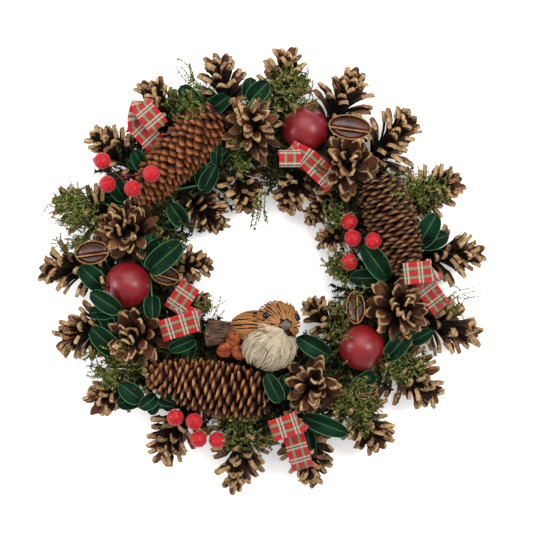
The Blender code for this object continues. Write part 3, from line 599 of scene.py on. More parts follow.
for number, (angle, reach, girth) in enumerate(INNER_CONES):
    axis = seated(on_ring(angle, RING_RADIUS - BUTT_OUT, INNER_BUTT_Z),
                  on_ring(angle, (reach + INNER_TIP_SHORTER) * MM, INNER_TIP_Z))
    style = ((pine_form, PINE_SHAPES), (broad_form, BROAD_SHAPES))[number % 2]
    lone_cone("inner_cone", number, axis, girth * MM, PINE_CORE, INNER_SCALES, style, 80 + number,
              PINE, bare=False)

for pair in range(len(OUTER_CONES) // 2):
    draw = random.Random(100 + pair)
    bm = bmesh.new()
    middles = []
    for angle, reach in OUTER_CONES[2 * pair:2 * pair + 2]:
        butt, tip = seated(on_ring(angle, RING_RADIUS + BUTT_OUT, OUTER_BUTT_Z),
                           on_ring(angle, (reach - OUTER_TIP_SHORTER) * MM, OUTER_TIP_Z))
        cone_core(bm, butt, tip, OUTER_GIRTH * PINE_CORE)
        grow(bm, butt, tip, OUTER_GIRTH, OUTER_SCALES, pine_form, PINE_SHAPES, draw)
        middles.append(butt.lerp(tip, WIRE_PLACE))
    laid(bm, ROD, path(middles, WIRE_RADIUS, WIRE_RADIUS))
    made = new_piece(f"outer_cones_scaled_{pair + 1}", bm, [PINE], [f"outer_cones_{pair + 1}"])
    stand_in_way(made)


# The apples: three small lacquered apples of foam, dark satin red, each pushed onto the ring
# with its stalk end turned outwards and down.
APPLE_STALK = (Vector((0.35, 0.85, 0.25)), Vector((-0.9, -0.1, 0.3)), Vector((0.75, -0.55, 0.25)))


def apple_finish():
    material, tree, shader, place, _pattern = new_finish("apple_lacquer", 0.36, 0.22)
    red, height = grained(tree, place, paint(104, 8, 16), paint(146, 26, 32), 45, 700, 2.4)
    flecks = add(tree, "TexVoronoi", {"Vector": place, "Scale": 420.0}).outputs["Distance"]
    freckled = mixed(tree, stepped(tree, flecks, 0.22, 0.12), red, paint(92, 10, 20))
    tree.links.new(freckled, shader.inputs["Base Color"])
    shader.inputs["Coat Weight"].default_value = 0.16
    shader.inputs["Coat Roughness"].default_value = 0.28
    raised(tree, shader, height, 0.15 * MM)
    return material


APPLE = apple_finish()
STALK = grained_finish("stalk", 0.8, paint(48, 30, 18), paint(96, 66, 40), 200, 1800, 0.2 * MM)
for number, stalk in enumerate(APPLE_STALK):
    low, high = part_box(f"apple_{number + 1}")
    middle = (low + high) / 2
    radius = (high.z - low.z) / 2
    turn = UP.rotation_difference(stalk.normalized()).to_matrix().to_4x4()
    bm = bmesh.new()
    bmesh.ops.create_uvsphere(bm, u_segments=48, v_segments=32, radius=1)
    for vertex in bm.verts:
        polar = math.acos(max(-1, min(1, vertex.co.z)))
        dimple = 0.2 * math.exp(-(polar / 0.3) ** 2) + 0.06 * math.exp(-((math.pi - polar) / 0.3) ** 2)
        vertex.co *= 1 - dimple + 0.01 * math.cos(5 * math.atan2(vertex.co.y, vertex.co.x)) * math.sin(polar) ** 3
    bm.transform(Matrix.Translation(middle) @ turn @ Matrix.Scale(radius, 4))
    foot = middle + stalk.normalized() * radius * 0.78
    points = [foot, foot + stalk.normalized() * 4 * MM, foot + stalk.normalized() * 7 * MM + UP * 1.5 * MM]
    laid(bm, tube(8, 3, 1.3), path(points, 0.8 * MM, 0.8 * MM), 1)
    new_piece(f"apple_lacquered_{number + 1}", bm, [APPLE, STALK], [f"apple_{number + 1}"])


# The berry picks: four foam berries each, dipped in red and rolled in clear sugar, on thin
# wires wrapped in dark red that meet in one stem pushed into the ring.
BERRY_RADIUS = 6.8 * MM
BERRY_WIRE = 0.7 * MM
SUGAR_GRAINS = 330
BERRY_PICKS = [
    ((-92, 62, 26), (-121, 77, 48), [(-136, 89.5, 64), (-131.5, 70, 66), (-110, 66, 76), (-94, 78, 84)]),
    ((92, 14, 28), (80, 22, 40), [(70.6, 39, 50), (73.5, 25, 52), (90.6, 22.8, 62), (70.8, 5, 50)]),
    ((-50, -103, 28), (-60, -130, 44), [(-75, -125, 62), (-59, -128, 66), (-55.5, -143, 62), (-40, -144, 60)]),
]


def berry_picks():
    wrapping = grained_finish("wrapped_wire", 0.6, paint(70, 10, 16), paint(132, 26, 32), 300, 2200, 0.2 * MM)
    red_skin = grained_finish("berry_skin", 0.45, paint(164, 5, 15), paint(206, 18, 30), 160, 1500,
                              0.3 * MM, 2.5)
    crystal = grained_finish("sugar", 0.25, paint(184, 6, 18), paint(240, 96, 104), 700, 2500,
                             0.1 * MM, 3.4, 0.4)
    finishes = [wrapping, sheened(red_skin, 0.3, 0.3), sheened(crystal, 0.3, 0.25)]
    grain = bmesh.new()
    bmesh.ops.create_cube(grain, size=1)
    grain.transform(Matrix.Translation((0, 0.5, 0)))
    sugar = template(grain, "sugar_grain")
    wire = tube(6, 4)
    for number, (root, fork, berries) in enumerate(BERRY_PICKS):
        draw = random.Random(200 + number)
        bm = bmesh.new()
        foot, split = (Vector(p) * MM + CENTRE for p in (root, fork))
        laid(bm, wire, path([foot, foot.lerp(split, 0.5), split], 1.04 * MM, 1.04 * MM))
        for berry in berries:
            centre = Vector(berry) * MM + CENTRE
            points = [split, split.lerp(centre, 0.5) - UP * 1.2 * MM, centre]
            laid(bm, wire, path(points, BERRY_WIRE, BERRY_WIRE, Vector((1, 0.2, 0))))
            ball = bmesh.new()
            bmesh.ops.create_icosphere(ball, subdivisions=4, radius=BERRY_RADIUS)
            for vertex in ball.verts:
                vertex.co *= 1 + 0.012 * noise.noise(vertex.co * 900 + centre * 1000)
            ball.transform(Matrix.Translation(centre))
            skin = template(ball, "berry_skin")
            for face in skin.polygons:
                face.material_index = 1
            bm.from_mesh(skin)
            for _ in range(SUGAR_GRAINS):
                way = Vector([draw.gauss(0, 1) for _axis in range(3)]).normalized()
                size = draw.uniform(0.35, 0.6) * MM
                side = way.orthogonal().normalized()
                side.rotate(Matrix.Rotation(draw.uniform(0, math.tau), 3, way))
                base = centre + way * (BERRY_RADIUS - size * 0.4)
                laid(bm, sugar, [(base, side * size, way.cross(side) * -size),
                                 (base + way * size, side * size, way.cross(side) * -size)], 2)
        new_piece(f"berry_pick_sugared_{number + 1}", bm, finishes, [f"berry_pick_{number + 1}"], 30)


berry_picks()


# The ribbons: five lengths of woven tartan ribbon, folded back over themselves and pinned. Red,
# green and tan run the length, pale and green bands cross them, and the edges are woven firm.
RIBBON_WIDTH = 18 * MM
RIBBON_THICKNESS = 0.45 * MM
RIBBON_FOLD = 2.6 * MM
RIBBONS = [
    ([(-90, 102, 60), (-108, 121, 61), (-104, 136, 62)], [(-104, 136, 63), (-88, 117, 68)]),
    ([(58, 70.5, 55), (36, 91, 58), (21, 98, 60)], [(21, 98, 61), (21, 84, 64)]),
    ([(-62, -14, 54), (-77, -36, 54), (-57, -44, 52)], [(-57, -44, 53), (-87, -53, 58)]),
    ([(148, -34, 62), (134, -16, 66), (138.5, -2.5, 70)], [(138.5, -2.5, 71), (115, -5, 76)]),
    ([(32, -169, 58), (23.5, -139, 66), (28, -128.5, 72)], [(28, -128.5, 73), (5, -136, 76)]),
]


def tartan_finish():
    """Woven bands: the warp runs the length of the ribbon, the weft crosses it."""
    material, tree, shader, place, pattern = new_finish("tartan", 0.75)
    across, along = (add(tree, "SeparateXYZ", {0: pattern}).outputs[i] for i in (0, 1))
    red, green = paint(196, 4, 20), paint(8, 70, 44)
    tan, pale = paint(146, 126, 92), paint(190, 218, 196)
    mirrored = sums(tree, "ABSOLUTE", sums(tree, "SUBTRACT", across, 9.0))
    warp = red
    for start, end, shade in ((1.4, 2.4, green), (2.4, 5.0, tan), (5.0, 5.6, green)):
        inside = sums(tree, "MULTIPLY", stepped(tree, mirrored, start - 0.08, start + 0.08),
                      stepped(tree, mirrored, end + 0.08, end - 0.08))
        warp = mixed(tree, inside, warp, shade)
    repeat = sums(tree, "FLOORED_MODULO", along, 12.0)
    weft = red
    for start, end, shade in ((6.8, 8.4, pale), (8.4, 9.6, green), (9.6, 11.2, pale)):
        inside = sums(tree, "MULTIPLY", stepped(tree, repeat, start - 0.08, start + 0.08),
                      stepped(tree, repeat, end + 0.08, end - 0.08))
        weft = mixed(tree, inside, weft, shade)
    in_band = sums(tree, "MULTIPLY", stepped(tree, repeat, 6.5, 6.7), stepped(tree, repeat, 11.3, 11.1))
    twill = sums(tree, "SINE", sums(tree, "MULTIPLY", sums(tree, "ADD", across, along), 9.0))
    over = stepped(tree, twill, -0.6, 0.6)
    share = sums(tree, "MULTIPLY_ADD", in_band, 0.36, sums(tree, "MULTIPLY_ADD", over, 0.2, 0.02))
    woven = mixed(tree, share, warp, weft)
    fray = add(tree, "TexNoise", {"Vector": place, "Scale": 900.0, "Detail": 2.0}).outputs[0]
    worn = mixed(tree, sums(tree, "MULTIPLY", stepped(tree, fray, 0.5, 0.9), 0.35), woven, paint(236, 110, 120))
    tree.links.new(worn, shader.inputs["Base Color"])
    shader.inputs["Sheen Weight"].default_value = 0.15
    raised(tree, shader, sums(tree, "ADD", over, fray), 0.12 * MM)
    return material


def band(points, side):
    """Stations along a line of points, each with half the width to its side, eased round the corners."""
    stations = []
    for start, end in zip(points, points[1:]):
        here = UP.cross(end - start).normalized()
        if here.dot(side) < 0:
            here.negate()
        for share in (0.12, 0.25, 0.4, 0.55, 0.7, 0.85, 1):
            lift = UP * 1.5 * MM * math.sin(math.pi * share)
            stations.append((start.lerp(end, share) + lift, side.lerp(here, min(share * 1.8, 1)).normalized()))
        side = here
    return stations


def ribbon_stations(lower, upper):
    """The ribbon's middle and half its width, from its lower end round the fold to its upper one."""
    lower = [Vector(p) * MM + CENTRE for p in lower]
    upper = [Vector(p) * MM + CENTRE + UP * 2 * RIBBON_FOLD for p in upper]
    side = UP.cross(lower[1] - lower[0]).normalized()
    stations = [(lower[0], side), *band(lower, side)]
    side = stations[-1][1]
    ahead = (lower[-1] - lower[-2]).normalized()
    back = UP.cross(upper[1] - upper[0]).normalized()
    if back.dot(side) < 0:
        back.negate()
    centre = lower[-1] + UP * RIBBON_FOLD
    for step in range(9):
        angle = math.radians(-80 + 20 * step)
        point = centre + (ahead * math.cos(angle) + UP * math.sin(angle)) * RIBBON_FOLD
        stations.append((point, side.lerp(back, step / 8).normalized()))
    stations += band(upper, back)
    return [(place, across * RIBBON_WIDTH / 2) for place, across in stations]


def ribbons():
    finish = tartan_finish()
    for number, (lower, upper) in enumerate(RIBBONS):
        stations = ribbon_stations(lower, upper)
        lengths = [0.0]
        for (first, _side), (second, _other) in zip(stations, stations[1:]):
            lengths.append(lengths[-1] + (second - first).length)
        bm = bmesh.new()
        pattern = bm.loops.layers.uv.new("pattern")
        rows = len(stations)
        bmesh.ops.create_grid(bm, x_segments=12, y_segments=rows - 1, size=0.5)
        for face in bm.faces:
            for loop in face.loops:
                row = round((loop.vert.co.y + 0.5) * (rows - 1))
                loop[pattern].uv = ((loop.vert.co.x + 0.5) * RIBBON_WIDTH / MM, lengths[row] / MM)
        for vertex in bm.verts:
            row = round((vertex.co.y + 0.5) * (rows - 1))
            point, side = stations[row]
            across = vertex.co.x * 2
            ripple = 0.5 * MM * math.sin(across * 2.2 + row * 0.7) * min(row, rows - 1 - row, 4) / 4
            vertex.co = point + side * across + UP * ripple
        low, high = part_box(f"ribbon_{number + 1}")
        mine = [min(v.co.z for v in bm.verts), max(v.co.z for v in bm.verts)]
        bmesh.ops.translate(bm, vec=(0, 0, (low.z + high.z - mine[0] - mine[1]) / 2), verts=bm.verts)
        made = new_piece(f"ribbon_woven_{number + 1}", bm, [finish], [f"ribbon_{number + 1}"], 80)
        solidify = made.modifiers.new("thickness", "SOLIDIFY")
        solidify.thickness = RIBBON_THICKNESS
        solidify.offset = 0


ribbons()


# The seed pods: split woody pods with a rib along them and a polished hollow at each side of it,
# dry and tan outside, red brown and glossy inside.
PODS = [(73.02, 118.58, 36, 21, -8), (-142.98, 13.58, 29, 20, 8), (-81.98, -5.42, 26, 16, -15),
        (78.02, -32.42, 28, 16, 92), (87.02, -103.42, 19, 12, 10)]
POD_RIB = (0, -0.2, 0)


def pods():
    finishes = [
        grained_finish("pod_shell", 0.6, paint(112, 74, 44), paint(190, 146, 98), 140, 1300, 0.4 * MM),
        grained_finish("pod_inside", 0.22, paint(22, 8, 5), paint(104, 46, 19), 75, 900, 0.25 * MM, 3.4, 0.4),
    ]
    for number, (x, y, length, width, turn) in enumerate(PODS):
        bm = bmesh.new()
        bmesh.ops.create_uvsphere(bm, u_segments=28, v_segments=14, radius=1)
        geometry = bm.verts[:] + bm.edges[:] + bm.faces[:]
        cut = bmesh.ops.bisect_plane(bm, geom=geometry, dist=1e-5, plane_co=(0, 0, 0), plane_no=(0, 0, 1),
                                     clear_outer=True)
        rim = [e for e in cut["geom_cut"] if isinstance(e, bmesh.types.BMEdge)]
        top = bmesh.ops.contextual_create(bm, geom=rim)["faces"]
        bmesh.ops.bisect_plane(bm, geom=top + rim, dist=1e-5, plane_co=POD_RIB, plane_no=(0, 1, 0))
        halves = [f for f in bm.faces if abs(f.calc_center_median().z) < 1e-5]
        bm.transform(Matrix.Diagonal((length * MM / 2, width * MM / 2, width * MM * 0.42, 1)))
        bmesh.ops.inset_individual(bm, faces=halves, thickness=0.9 * MM)
        for half in halves:
            half.material_index = 1
            for shrink, drop in ((0.94, 0.08), (0.86, 0.17), (0.6, 0.22)):
                half = bmesh.ops.extrude_discrete_faces(bm, faces=[half])["faces"][0]
                middle = half.calc_center_median()
                for vertex in half.verts:
                    vertex.co = middle.lerp(vertex.co, shrink)
                    vertex.co.z = -width * MM * drop
        low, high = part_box(f"seed_pod_{number + 1}")
        bmesh.ops.subdivide_edges(bm, edges=bm.edges[:], cuts=1, use_grid_fill=True)
        deep = [v for v in bm.verts if v.co.z < -0.02 * width * MM]
        bmesh.ops.smooth_vert(bm, verts=deep, factor=0.4, use_axis_x=True, use_axis_y=True, use_axis_z=True)
        bm.transform(Matrix.Translation((x * MM, y * MM, high.z)) @ Matrix.Rotation(math.radians(turn), 4, "Z"))
        new_piece(f"seed_pod_split_{number + 1}", bm, finishes, [f"seed_pod_{number + 1}"], 35)


pods()


# The leaves: felt leaves on short wired stems, deep green with a pale sewn edge and midrib,
# cupped and arched. They come in pairs, in eight sprays set round the face of the ring.
SPRAYS = [
    ((-38.1, 99.8, 31.7), [((-55, 135.6, 46), (-69, 153.6, 52), 13), ((-47, 131.6, 37), (-28, 145.6, 43), 13),
                           ((-11, 140.6, 46), (5, 156.6, 52), 14)]),
    ((-78.8, 66, 31.7), [((-116, 57.6, 40), (-129.6, 80.5, 45.1), 12.8), ((-100, 84.6, 46), (-108, 99.6, 52), 11),
                         ((-39, 87.6, 46), (-38, 106.6, 52), 9), ((-50, 65.6, 46), (-39, 86.6, 52), 12),
                         ((-67, 38.6, 46), (-78, 54.6, 52), 13)]),
    ((-95.5, -1, 29), [((-95, -1.4, 52), (-68, 21.6, 58), 17), ((-98, 5.6, 46), (-82, 24.6, 52), 15),
                       ((-93, -23.4, 46), (-92, -43.4, 52), 12)]),
    ((-112.2, -34.3, 26.5), [((-133, -17.4, 37), (-154, 2.6, 43), 15), ((-120, -35.4, 55), (-144, -19.4, 61), 13),
                             ((-127, -49.4, 46), (-137, -33.4, 52), 10), ((-122, -70.4, 46), (-144, -49.4, 52), 15)]),
    ((-76.8, -81, 30.8), [((-102, -110.4, 46), (-120, -96.4, 52), 14), ((-89, -107.4, 46), (-103, -117.4, 52), 11),
                          ((-86, -108.4, 46), (-73, -113.4, 52), 9), ((-57, -59.4, 46), (-79, -68.4, 52), 10)]),
    ((15.2, -106.6, 31.7), [((56, -73.4, 46), (29, -57.4, 52), 14), ((15, -111.4, 61), (3, -87.4, 67), 12),
                            ((34, -124.4, 46), (72, -138.4, 52), 13)]),
    ((118.4, 16.9, 28), [((131, 19.6, 46), (146, 45.6, 52), 16), ((105, -8.4, 46), (84, 20.6, 52), 16)]),
    ((105.2, -61.5, 25.9), [((105, -74.4, 46), (123, -53.4, 52), 14), ((126, -61.4, 46), (143, -51.4, 52), 10),
                            ((94, -88.4, 40), (73, -104.4, 46), 12)]),
]


def leaf_finish():
    material, tree, shader, place, pattern = new_finish("felt_leaf", 0.55, 0.08)
    across, along = (add(tree, "SeparateXYZ", {0: pattern}).outputs[i] for i in (0, 1))
    green, height = grained(tree, place, paint(0, 12, 8), paint(3, 54, 28), 60, 1500, 4.0)
    middle = sums(tree, "ABSOLUTE", sums(tree, "MULTIPLY_ADD", across, 2.0, -1.0))
    vein_line = sums(tree, "FRACT", sums(tree, "MULTIPLY_ADD", along, 8.0, sums(tree, "MULTIPLY", middle, -2.6)))
    vein = stepped(tree, vein_line, 0.16, 0.02)
    edge = sums(tree, "MULTIPLY", stepped(tree, middle, 0.91, 0.98), 0.8)
    rib = sums(tree, "MULTIPLY", stepped(tree, middle, 0.08, 0.02), 0.3)
    lines = sums(tree, "MAXIMUM", edge, sums(tree, "MAXIMUM", rib, sums(tree, "MULTIPLY", vein, 0.08)))
    tree.links.new(mixed(tree, lines, green, paint(104, 176, 108)), shader.inputs["Base Color"])
    shader.inputs["Sheen Weight"].default_value = 0.03
    raised(tree, shader, sums(tree, "MULTIPLY_ADD", lines, 0.8, height), 0.25 * MM)
    return material


def leaf_shape():
    """A flat leaf from 0 to 1 in y, 1 wide, pointed at both ends and cupped up at its edges."""
    bm = bmesh.new()
    pattern = bm.loops.layers.uv.new("pattern")
    bmesh.ops.create_grid(bm, x_segments=6, y_segments=10, size=0.5)
    bmesh.ops.translate(bm, vec=(0, 0.5, 0), verts=bm.verts)
    bmesh.ops.solidify(bm, geom=bm.faces[:], thickness=0.02)
    for face in bm.faces:
        for loop in face.loops:
            loop[pattern].uv = (loop.vert.co.x + 0.5, loop.vert.co.y)
    for vertex in bm.verts:
        across = vertex.co.x * 2
        spread = max(math.sin(math.pi * vertex.co.y), 0) ** 0.5 + 0.03
        vertex.co.x = across * spread / 2
        vertex.co.z = vertex.co.z + 0.42 * across**2 * spread
    return template(bm, "leaf_blade")


def leaf_sprays():
    finish = leaf_finish()
    blade = leaf_shape()
    stem = tube(5, 6)
    for number, (root, leaves) in enumerate(SPRAYS):
        draw = random.Random(300 + number)
        bm = bmesh.new()
        root = Vector(root) * MM
        bmesh.ops.create_icosphere(bm, subdivisions=2, radius=2.2 * MM, matrix=Matrix.Translation(root))
        for base, tip, width in leaves:
            base, tip = Vector(base) * MM, Vector(tip) * MM
            ahead = tip - base
            side = ahead.cross(UP).normalized()
            above = side.cross(ahead).normalized()
            points = []
            for step in range(7):
                share = step / 6
                arch = ahead.length * 0.14 * math.sin(math.pi * share)
                points.append(base + ahead * share + above * arch)
            laid(bm, blade, path(points, width * 1.15 * MM, width * MM * draw.uniform(0.8, 1.8)))
            turn = Matrix.Rotation(draw.choice((-1, 1)) * draw.uniform(0.6, 1.1), 3, above)
            twin = [base + turn @ (point - base) * 0.85 - above * 7 * MM for point in points]
            laid(bm, blade, path(twin, width * MM, width * MM * draw.uniform(0.5, 1)))
            stalk = base + ahead * 0.3 + above * ahead.length * 0.07
            middles = [root, root.lerp(stalk, 0.5), stalk]
            laid(bm, stem, path(middles, 0.8 * MM, 0.8 * MM, Vector((0.3, 1, 0.2))))
        new_piece(f"leaf_spray_veined_{number + 1}", bm, [finish], [f"leaf_spray_{number + 1}"], 60)


leaf_sprays()


# The robin: plant fibre laid in overlapping layers from the beak backwards over a plain core,
# brown for cap and back, cream for the breast, with bead eyes, a wood chip beak and a bark tail.
HEAD = Vector((10, -46, 60)) * MM + CENTRE
HEAD_SIZE = Vector((18, 18, 18)) * MM
BODY = Vector((3.4, -63, 48)) * MM + CENTRE
BODY_SIZE = Vector((20.5, 21.5, 18)) * MM
BACK = Vector((-8, -49, 54)) * MM + CENTRE
BACK_SIZE = Vector((19, 13, 13)) * MM
BREAST = Vector((3.4, -67.4, 61)) * MM + CENTRE
BREAST_SIZE = Vector((21.5, 17.5, 16)) * MM
BEAK = Vector((17.4, -47.4, 78)) * MM + CENTRE
TAIL_ROOT = Vector((-17, -54, 51)) * MM + CENTRE
TAIL_LENGTH = 33 * MM
BIB = Vector((15, -51, 0)) * MM + CENTRE
BIB_STRANDS = 130


def fibre_finish(name, dark, light):
    """Each fibre has a shade of its own and darker and lighter streaks along it."""
    material, tree, shader, place, pattern = new_finish(name, 0.65)
    own = drawn_out(tree, pattern, (1.0, 0.08, 1.0), 2.3, 3.0)
    grain, height = grained(tree, place, paint(0, 0, 0), paint(255, 255, 255), 190, 1500, 3.0)
    share = mixed(tree, 0.35, stepped(tree, own, 0.3, 0.7), grain)
    tree.links.new(mixed(tree, share, dark, light), shader.inputs["Base Color"])
    raised(tree, shader, height, 0.25 * MM)
    return material


def fibre_shape():
    """A flat fibre from 0 to 1 in y, blunt where it starts and narrower where it ends."""
    bm = bmesh.new()
    pattern = bm.loops.layers.uv.new("pattern")
    bmesh.ops.create_cube(bm, size=1)
    bmesh.ops.translate(bm, vec=(0, 0.5, 0), verts=bm.verts)
    long_edges = [e for e in bm.edges if abs(e.verts[0].co.y - e.verts[1].co.y) > 0.5]
    bmesh.ops.subdivide_edges(bm, edges=long_edges, cuts=3)
    for face in bm.faces:
        for loop in face.loops:
            loop[pattern].uv = (loop.vert.co.x + 0.5, loop.vert.co.y)
    for vertex in bm.verts:
        vertex.co.x *= 1 - 0.4 * vertex.co.y**2
    return template(bm, "fibre")


def over_form(centre, size, pole, polar, azimuth, lift):
    """A place over an ellipsoid, counted from its pole, and the way outwards there."""
    side = pole.orthogonal().normalized()
    other = pole.cross(side)
    way = pole * math.cos(polar) + (side * math.cos(azimuth) + other * math.sin(azimuth)) * math.sin(polar)
    place = centre + Vector([way[i] * (size[i] + lift) for i in range(3)])
    outward = Vector([way[i] / size[i] for i in range(3)]).normalized()
    return place, outward


def fibres(bm, centre, size, pole, tiers, draw, widths=(1.1, 2.0), clear=()):
    """Layers of fibres that start nearer the pole and end further from it."""
    shape = fibre_shape()
    for start, end, count, lift in tiers:
        for number in range(count):
            azimuth = math.tau * (number + draw.uniform(-0.5, 0.5)) / count
            first = start + draw.uniform(-0.08, 0.08)
            last = end + draw.uniform(-0.22, 0.18)
            width = draw.uniform(*widths) * MM
            drift = draw.uniform(-0.07, 0.07)
            rise = draw.uniform(0.2, 1.8)
            stations = []
            for step in range(5):
                share = step / 4
                polar = first + (last - first) * share
                height = (lift + rise * share**2) * MM
                stations.append(over_form(centre, size, pole, polar, azimuth + drift * share, height))
            places = [place for place, _outward in stations]
            inside = any(Vector([(places[k][i] - form[i]) / extent[i] for i in range(3)]).length < 0.93
                         for form, extent in clear for k in (2, 3, 4))
            if not inside:
                laid(bm, shape, path(places, width, 0.6 * MM, stations[2][1]), 0, draw.randrange(1, 400))


def bark_finish():
    material, tree, shader, place, _pattern = new_finish("bark", 0.85)
    stretched = add(tree, "Mapping", {"Vector": place, "Scale": (0.25, 1.0, 1.0)}).outputs[0]
    colour, height = grained(tree, stretched, paint(30, 20, 16), paint(112, 84, 66), 420, 1500, 4.0)
    tree.links.new(colour, shader.inputs["Base Color"])
    raised(tree, shader, height, 0.6 * MM)
    return material


def bead_finish():
    material, tree, shader, place, _pattern = new_finish("bead", 0.12, 0.15)
    colour, height = grained(tree, place, paint(6, 6, 8), paint(16, 15, 18), 300, 1200)
    tree.links.new(colour, shader.inputs["Base Color"])
    shader.inputs["Coat Weight"].default_value = 0.15
    return material


def over_robin(x, y):
    """The height of the robin's head or breast at a place, whichever stands higher."""
    heights = [0.0]
    for centre, size in ((HEAD, HEAD_SIZE), (BREAST, BREAST_SIZE)):
        flat = ((x - centre.x) / size.x) ** 2 + ((y - centre.y) / size.y) ** 2
        if flat < 1:
            heights.append(centre.z + size.z * math.sqrt(1 - flat))
    return max(heights)


def fibre_core(bm, centre, size):
    """The plain shape that the fibres lie on."""
    made = bmesh.ops.create_uvsphere(bm, u_segments=28, v_segments=18, radius=1)["verts"]
    matrix = Matrix.Translation(centre) @ Matrix.Diagonal((*size, 1))
    bmesh.ops.transform(bm, matrix=matrix, verts=made)


def robin():
    draw = random.Random(500)
    brown = fibre_finish("brown_fibre", paint(76, 38, 18), paint(232, 164, 100))
    cream = fibre_finish("cream_fibre", paint(122, 84, 48), paint(255, 246, 216))
    # The core under the head and back is painted dark brown as the shade in the gaps between its fibres.
    under = fibre_finish("fibre_core", paint(30, 16, 9), paint(66, 36, 20))
    towards_beak = (BEAK - HEAD).normalized()
    bm = bmesh.new()
    for centre, size in ((HEAD, HEAD_SIZE), (BODY, BODY_SIZE), (BACK, BACK_SIZE)):
        fibre_core(bm, centre, size * 0.94)
    for face in bm.faces:
        face.material_index = 1
    behind_beak = Vector((1, 0, 0.4)).normalized()
    fibres(bm, BODY, BODY_SIZE, behind_beak, [(0.9, 1.8, 60, 0.0), (1.5, 2.5, 55, 0.2)], draw)
    fibres(bm, BACK, BACK_SIZE, behind_beak, [(0.7, 1.7, 44, 0.2), (1.4, 2.6, 44, 0.4)], draw,
           clear=[(HEAD, HEAD_SIZE)])
    head_tiers = [(1.2, 2.1, 56, 0.0), (0.75, 1.6, 50, 0.4), (0.3, 1.15, 40, 0.9)]
    fibres(bm, HEAD, HEAD_SIZE, towards_beak, head_tiers, draw, clear=[(BREAST, BREAST_SIZE * 1.22)])
    new_piece("robin_back_fibres", bm, [brown, under], ["robin_body"])

    bm = bmesh.new()
    fibre_core(bm, BREAST, BREAST_SIZE * 0.93)
    below_beak = Vector((0.44, 0.85, 0.35)).normalized()
    fibres(bm, BREAST, BREAST_SIZE, below_beak, [(1.5, 2.4, 84, 0.0), (1.1, 2.0, 84, 0.2), (0.75, 1.65, 76, 0.5),
                                                 (0.4, 1.3, 64, 0.8), (0.1, 0.95, 44, 1.1)], draw, (0.8, 1.3))
    strand = fibre_shape()
    for _ in range(BIB_STRANDS):
        turn = math.radians(draw.uniform(-195, -28))
        start, length = draw.uniform(0, 7) * MM, draw.uniform(13, 22) * MM
        points = []
        for step in range(5):
            reach = start + length * step / 4
            x, y = BIB.x + reach * math.cos(turn), BIB.y + reach * math.sin(turn)
            points.append(Vector((x, y, over_robin(x, y) + (1 + 0.3 * step) * MM)))
        if min(point.z for point in points) > BREAST.z:
            laid(bm, strand, path(points, draw.uniform(0.8, 1.3) * MM, 0.6 * MM), 0, draw.randrange(1, 400))
    new_piece("robin_breast_straw", bm, [cream], ["robin_breast"])

    bm = bmesh.new()
    bmesh.ops.create_cone(bm, cap_ends=True, segments=4, radius1=6 * MM, radius2=0.7 * MM, depth=10 * MM)
    bmesh.ops.bevel(bm, geom=bm.edges[:], offset=0.7 * MM, offset_type="OFFSET", affect="EDGES", segments=2,
                    profile=0.5, material=-1)
    turn = UP.rotation_difference(towards_beak).to_matrix().to_4x4()
    bm.transform(Matrix.Translation(BEAK + towards_beak * 4.5 * MM) @ turn @ Matrix.Diagonal((1.15, 0.8, 1, 1)))
    chip = fibre_finish("beak_chip", paint(82, 72, 66), paint(150, 138, 126))
    new_piece("robin_beak_chip", bm, [chip], ["robin_beak"], 50)

    bead = bead_finish()
    for name in ("robin_eye_left", "robin_eye_right"):
        low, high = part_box(name)
        bm = bmesh.new()
        bmesh.ops.create_uvsphere(bm, u_segments=28, v_segments=18, radius=(high.z - low.z) / 2)
        bm.transform(Matrix.Translation((low + high) / 2))
        new_piece(f"{name}_bead", bm, [bead], [name])

    bm = bmesh.new()
    slat = tube(22, 12, 0.7)
    for number, fan in enumerate((-13, 0, 13)):
        start = TAIL_ROOT + Vector((-0.08, 0, 0.06)) * fan * MM
        way = Matrix.Rotation(math.radians(fan), 3, "Z") @ Vector((-1, 0, 0))
        points = [start + way * TAIL_LENGTH * step / 12 for step in range(13)]
        laid(bm, slat, path(points, 6.3 * MM, 2.8 * MM))
    stub = bmesh.ops.create_icosphere(bm, subdivisions=3, radius=4.2 * MM)["verts"]
    bmesh.ops.transform(bm, matrix=Matrix.Translation((-22 * MM, -45 * MM, 52.5 * MM)), verts=stub)
    for vertex in bm.verts:
        place = vertex.co / MM
        ridge = noise.noise(Vector((place.x * 0.06, place.y * 0.75, place.z * 0.75)))
        vertex.co.z += ridge * 1.3 * MM
        vertex.co.y += noise.noise(Vector((place.x * 0.06, place.z * 0.9, 7))) * 0.9 * MM
    new_piece("robin_tail_bark", bm, [bark_finish()], ["robin_tail"], 60)


robin()


# The dried capsule by the robin's tail: three plump wrinkled valves, warm red brown.
CAPSULE = Vector((-25, -65.5, 57.0)) * MM


def husk_finish():
    material, tree, shader, place, _pattern = new_finish("capsule_husk", 0.6)
    folds = add(tree, "TexNoise", {"Vector": place, "Scale": 330.0, "Detail": 3.0, "Distortion": 1.5}).outputs[0]
    colour, height = grained(tree, place, paint(84, 30, 12), paint(196, 96, 50), 200, 1400, 4.0)
    # Painted shade darkens the creases of the folds; the ridges of the folds are paler.
    painted_crease_shade = mixed(tree, sums(tree, "MULTIPLY", stepped(tree, folds, 0.5, 0.34), 0.7), colour, paint(50, 18, 9))
    paler_ridges = mixed(tree, sums(tree, "MULTIPLY", stepped(tree, folds, 0.6, 0.74), 0.6), painted_crease_shade, paint(214, 156, 118))
    tree.links.new(paler_ridges, shader.inputs["Base Color"])
    raised(tree, shader, sums(tree, "MULTIPLY_ADD", folds, 2.0, height), 0.7 * MM)
    return material


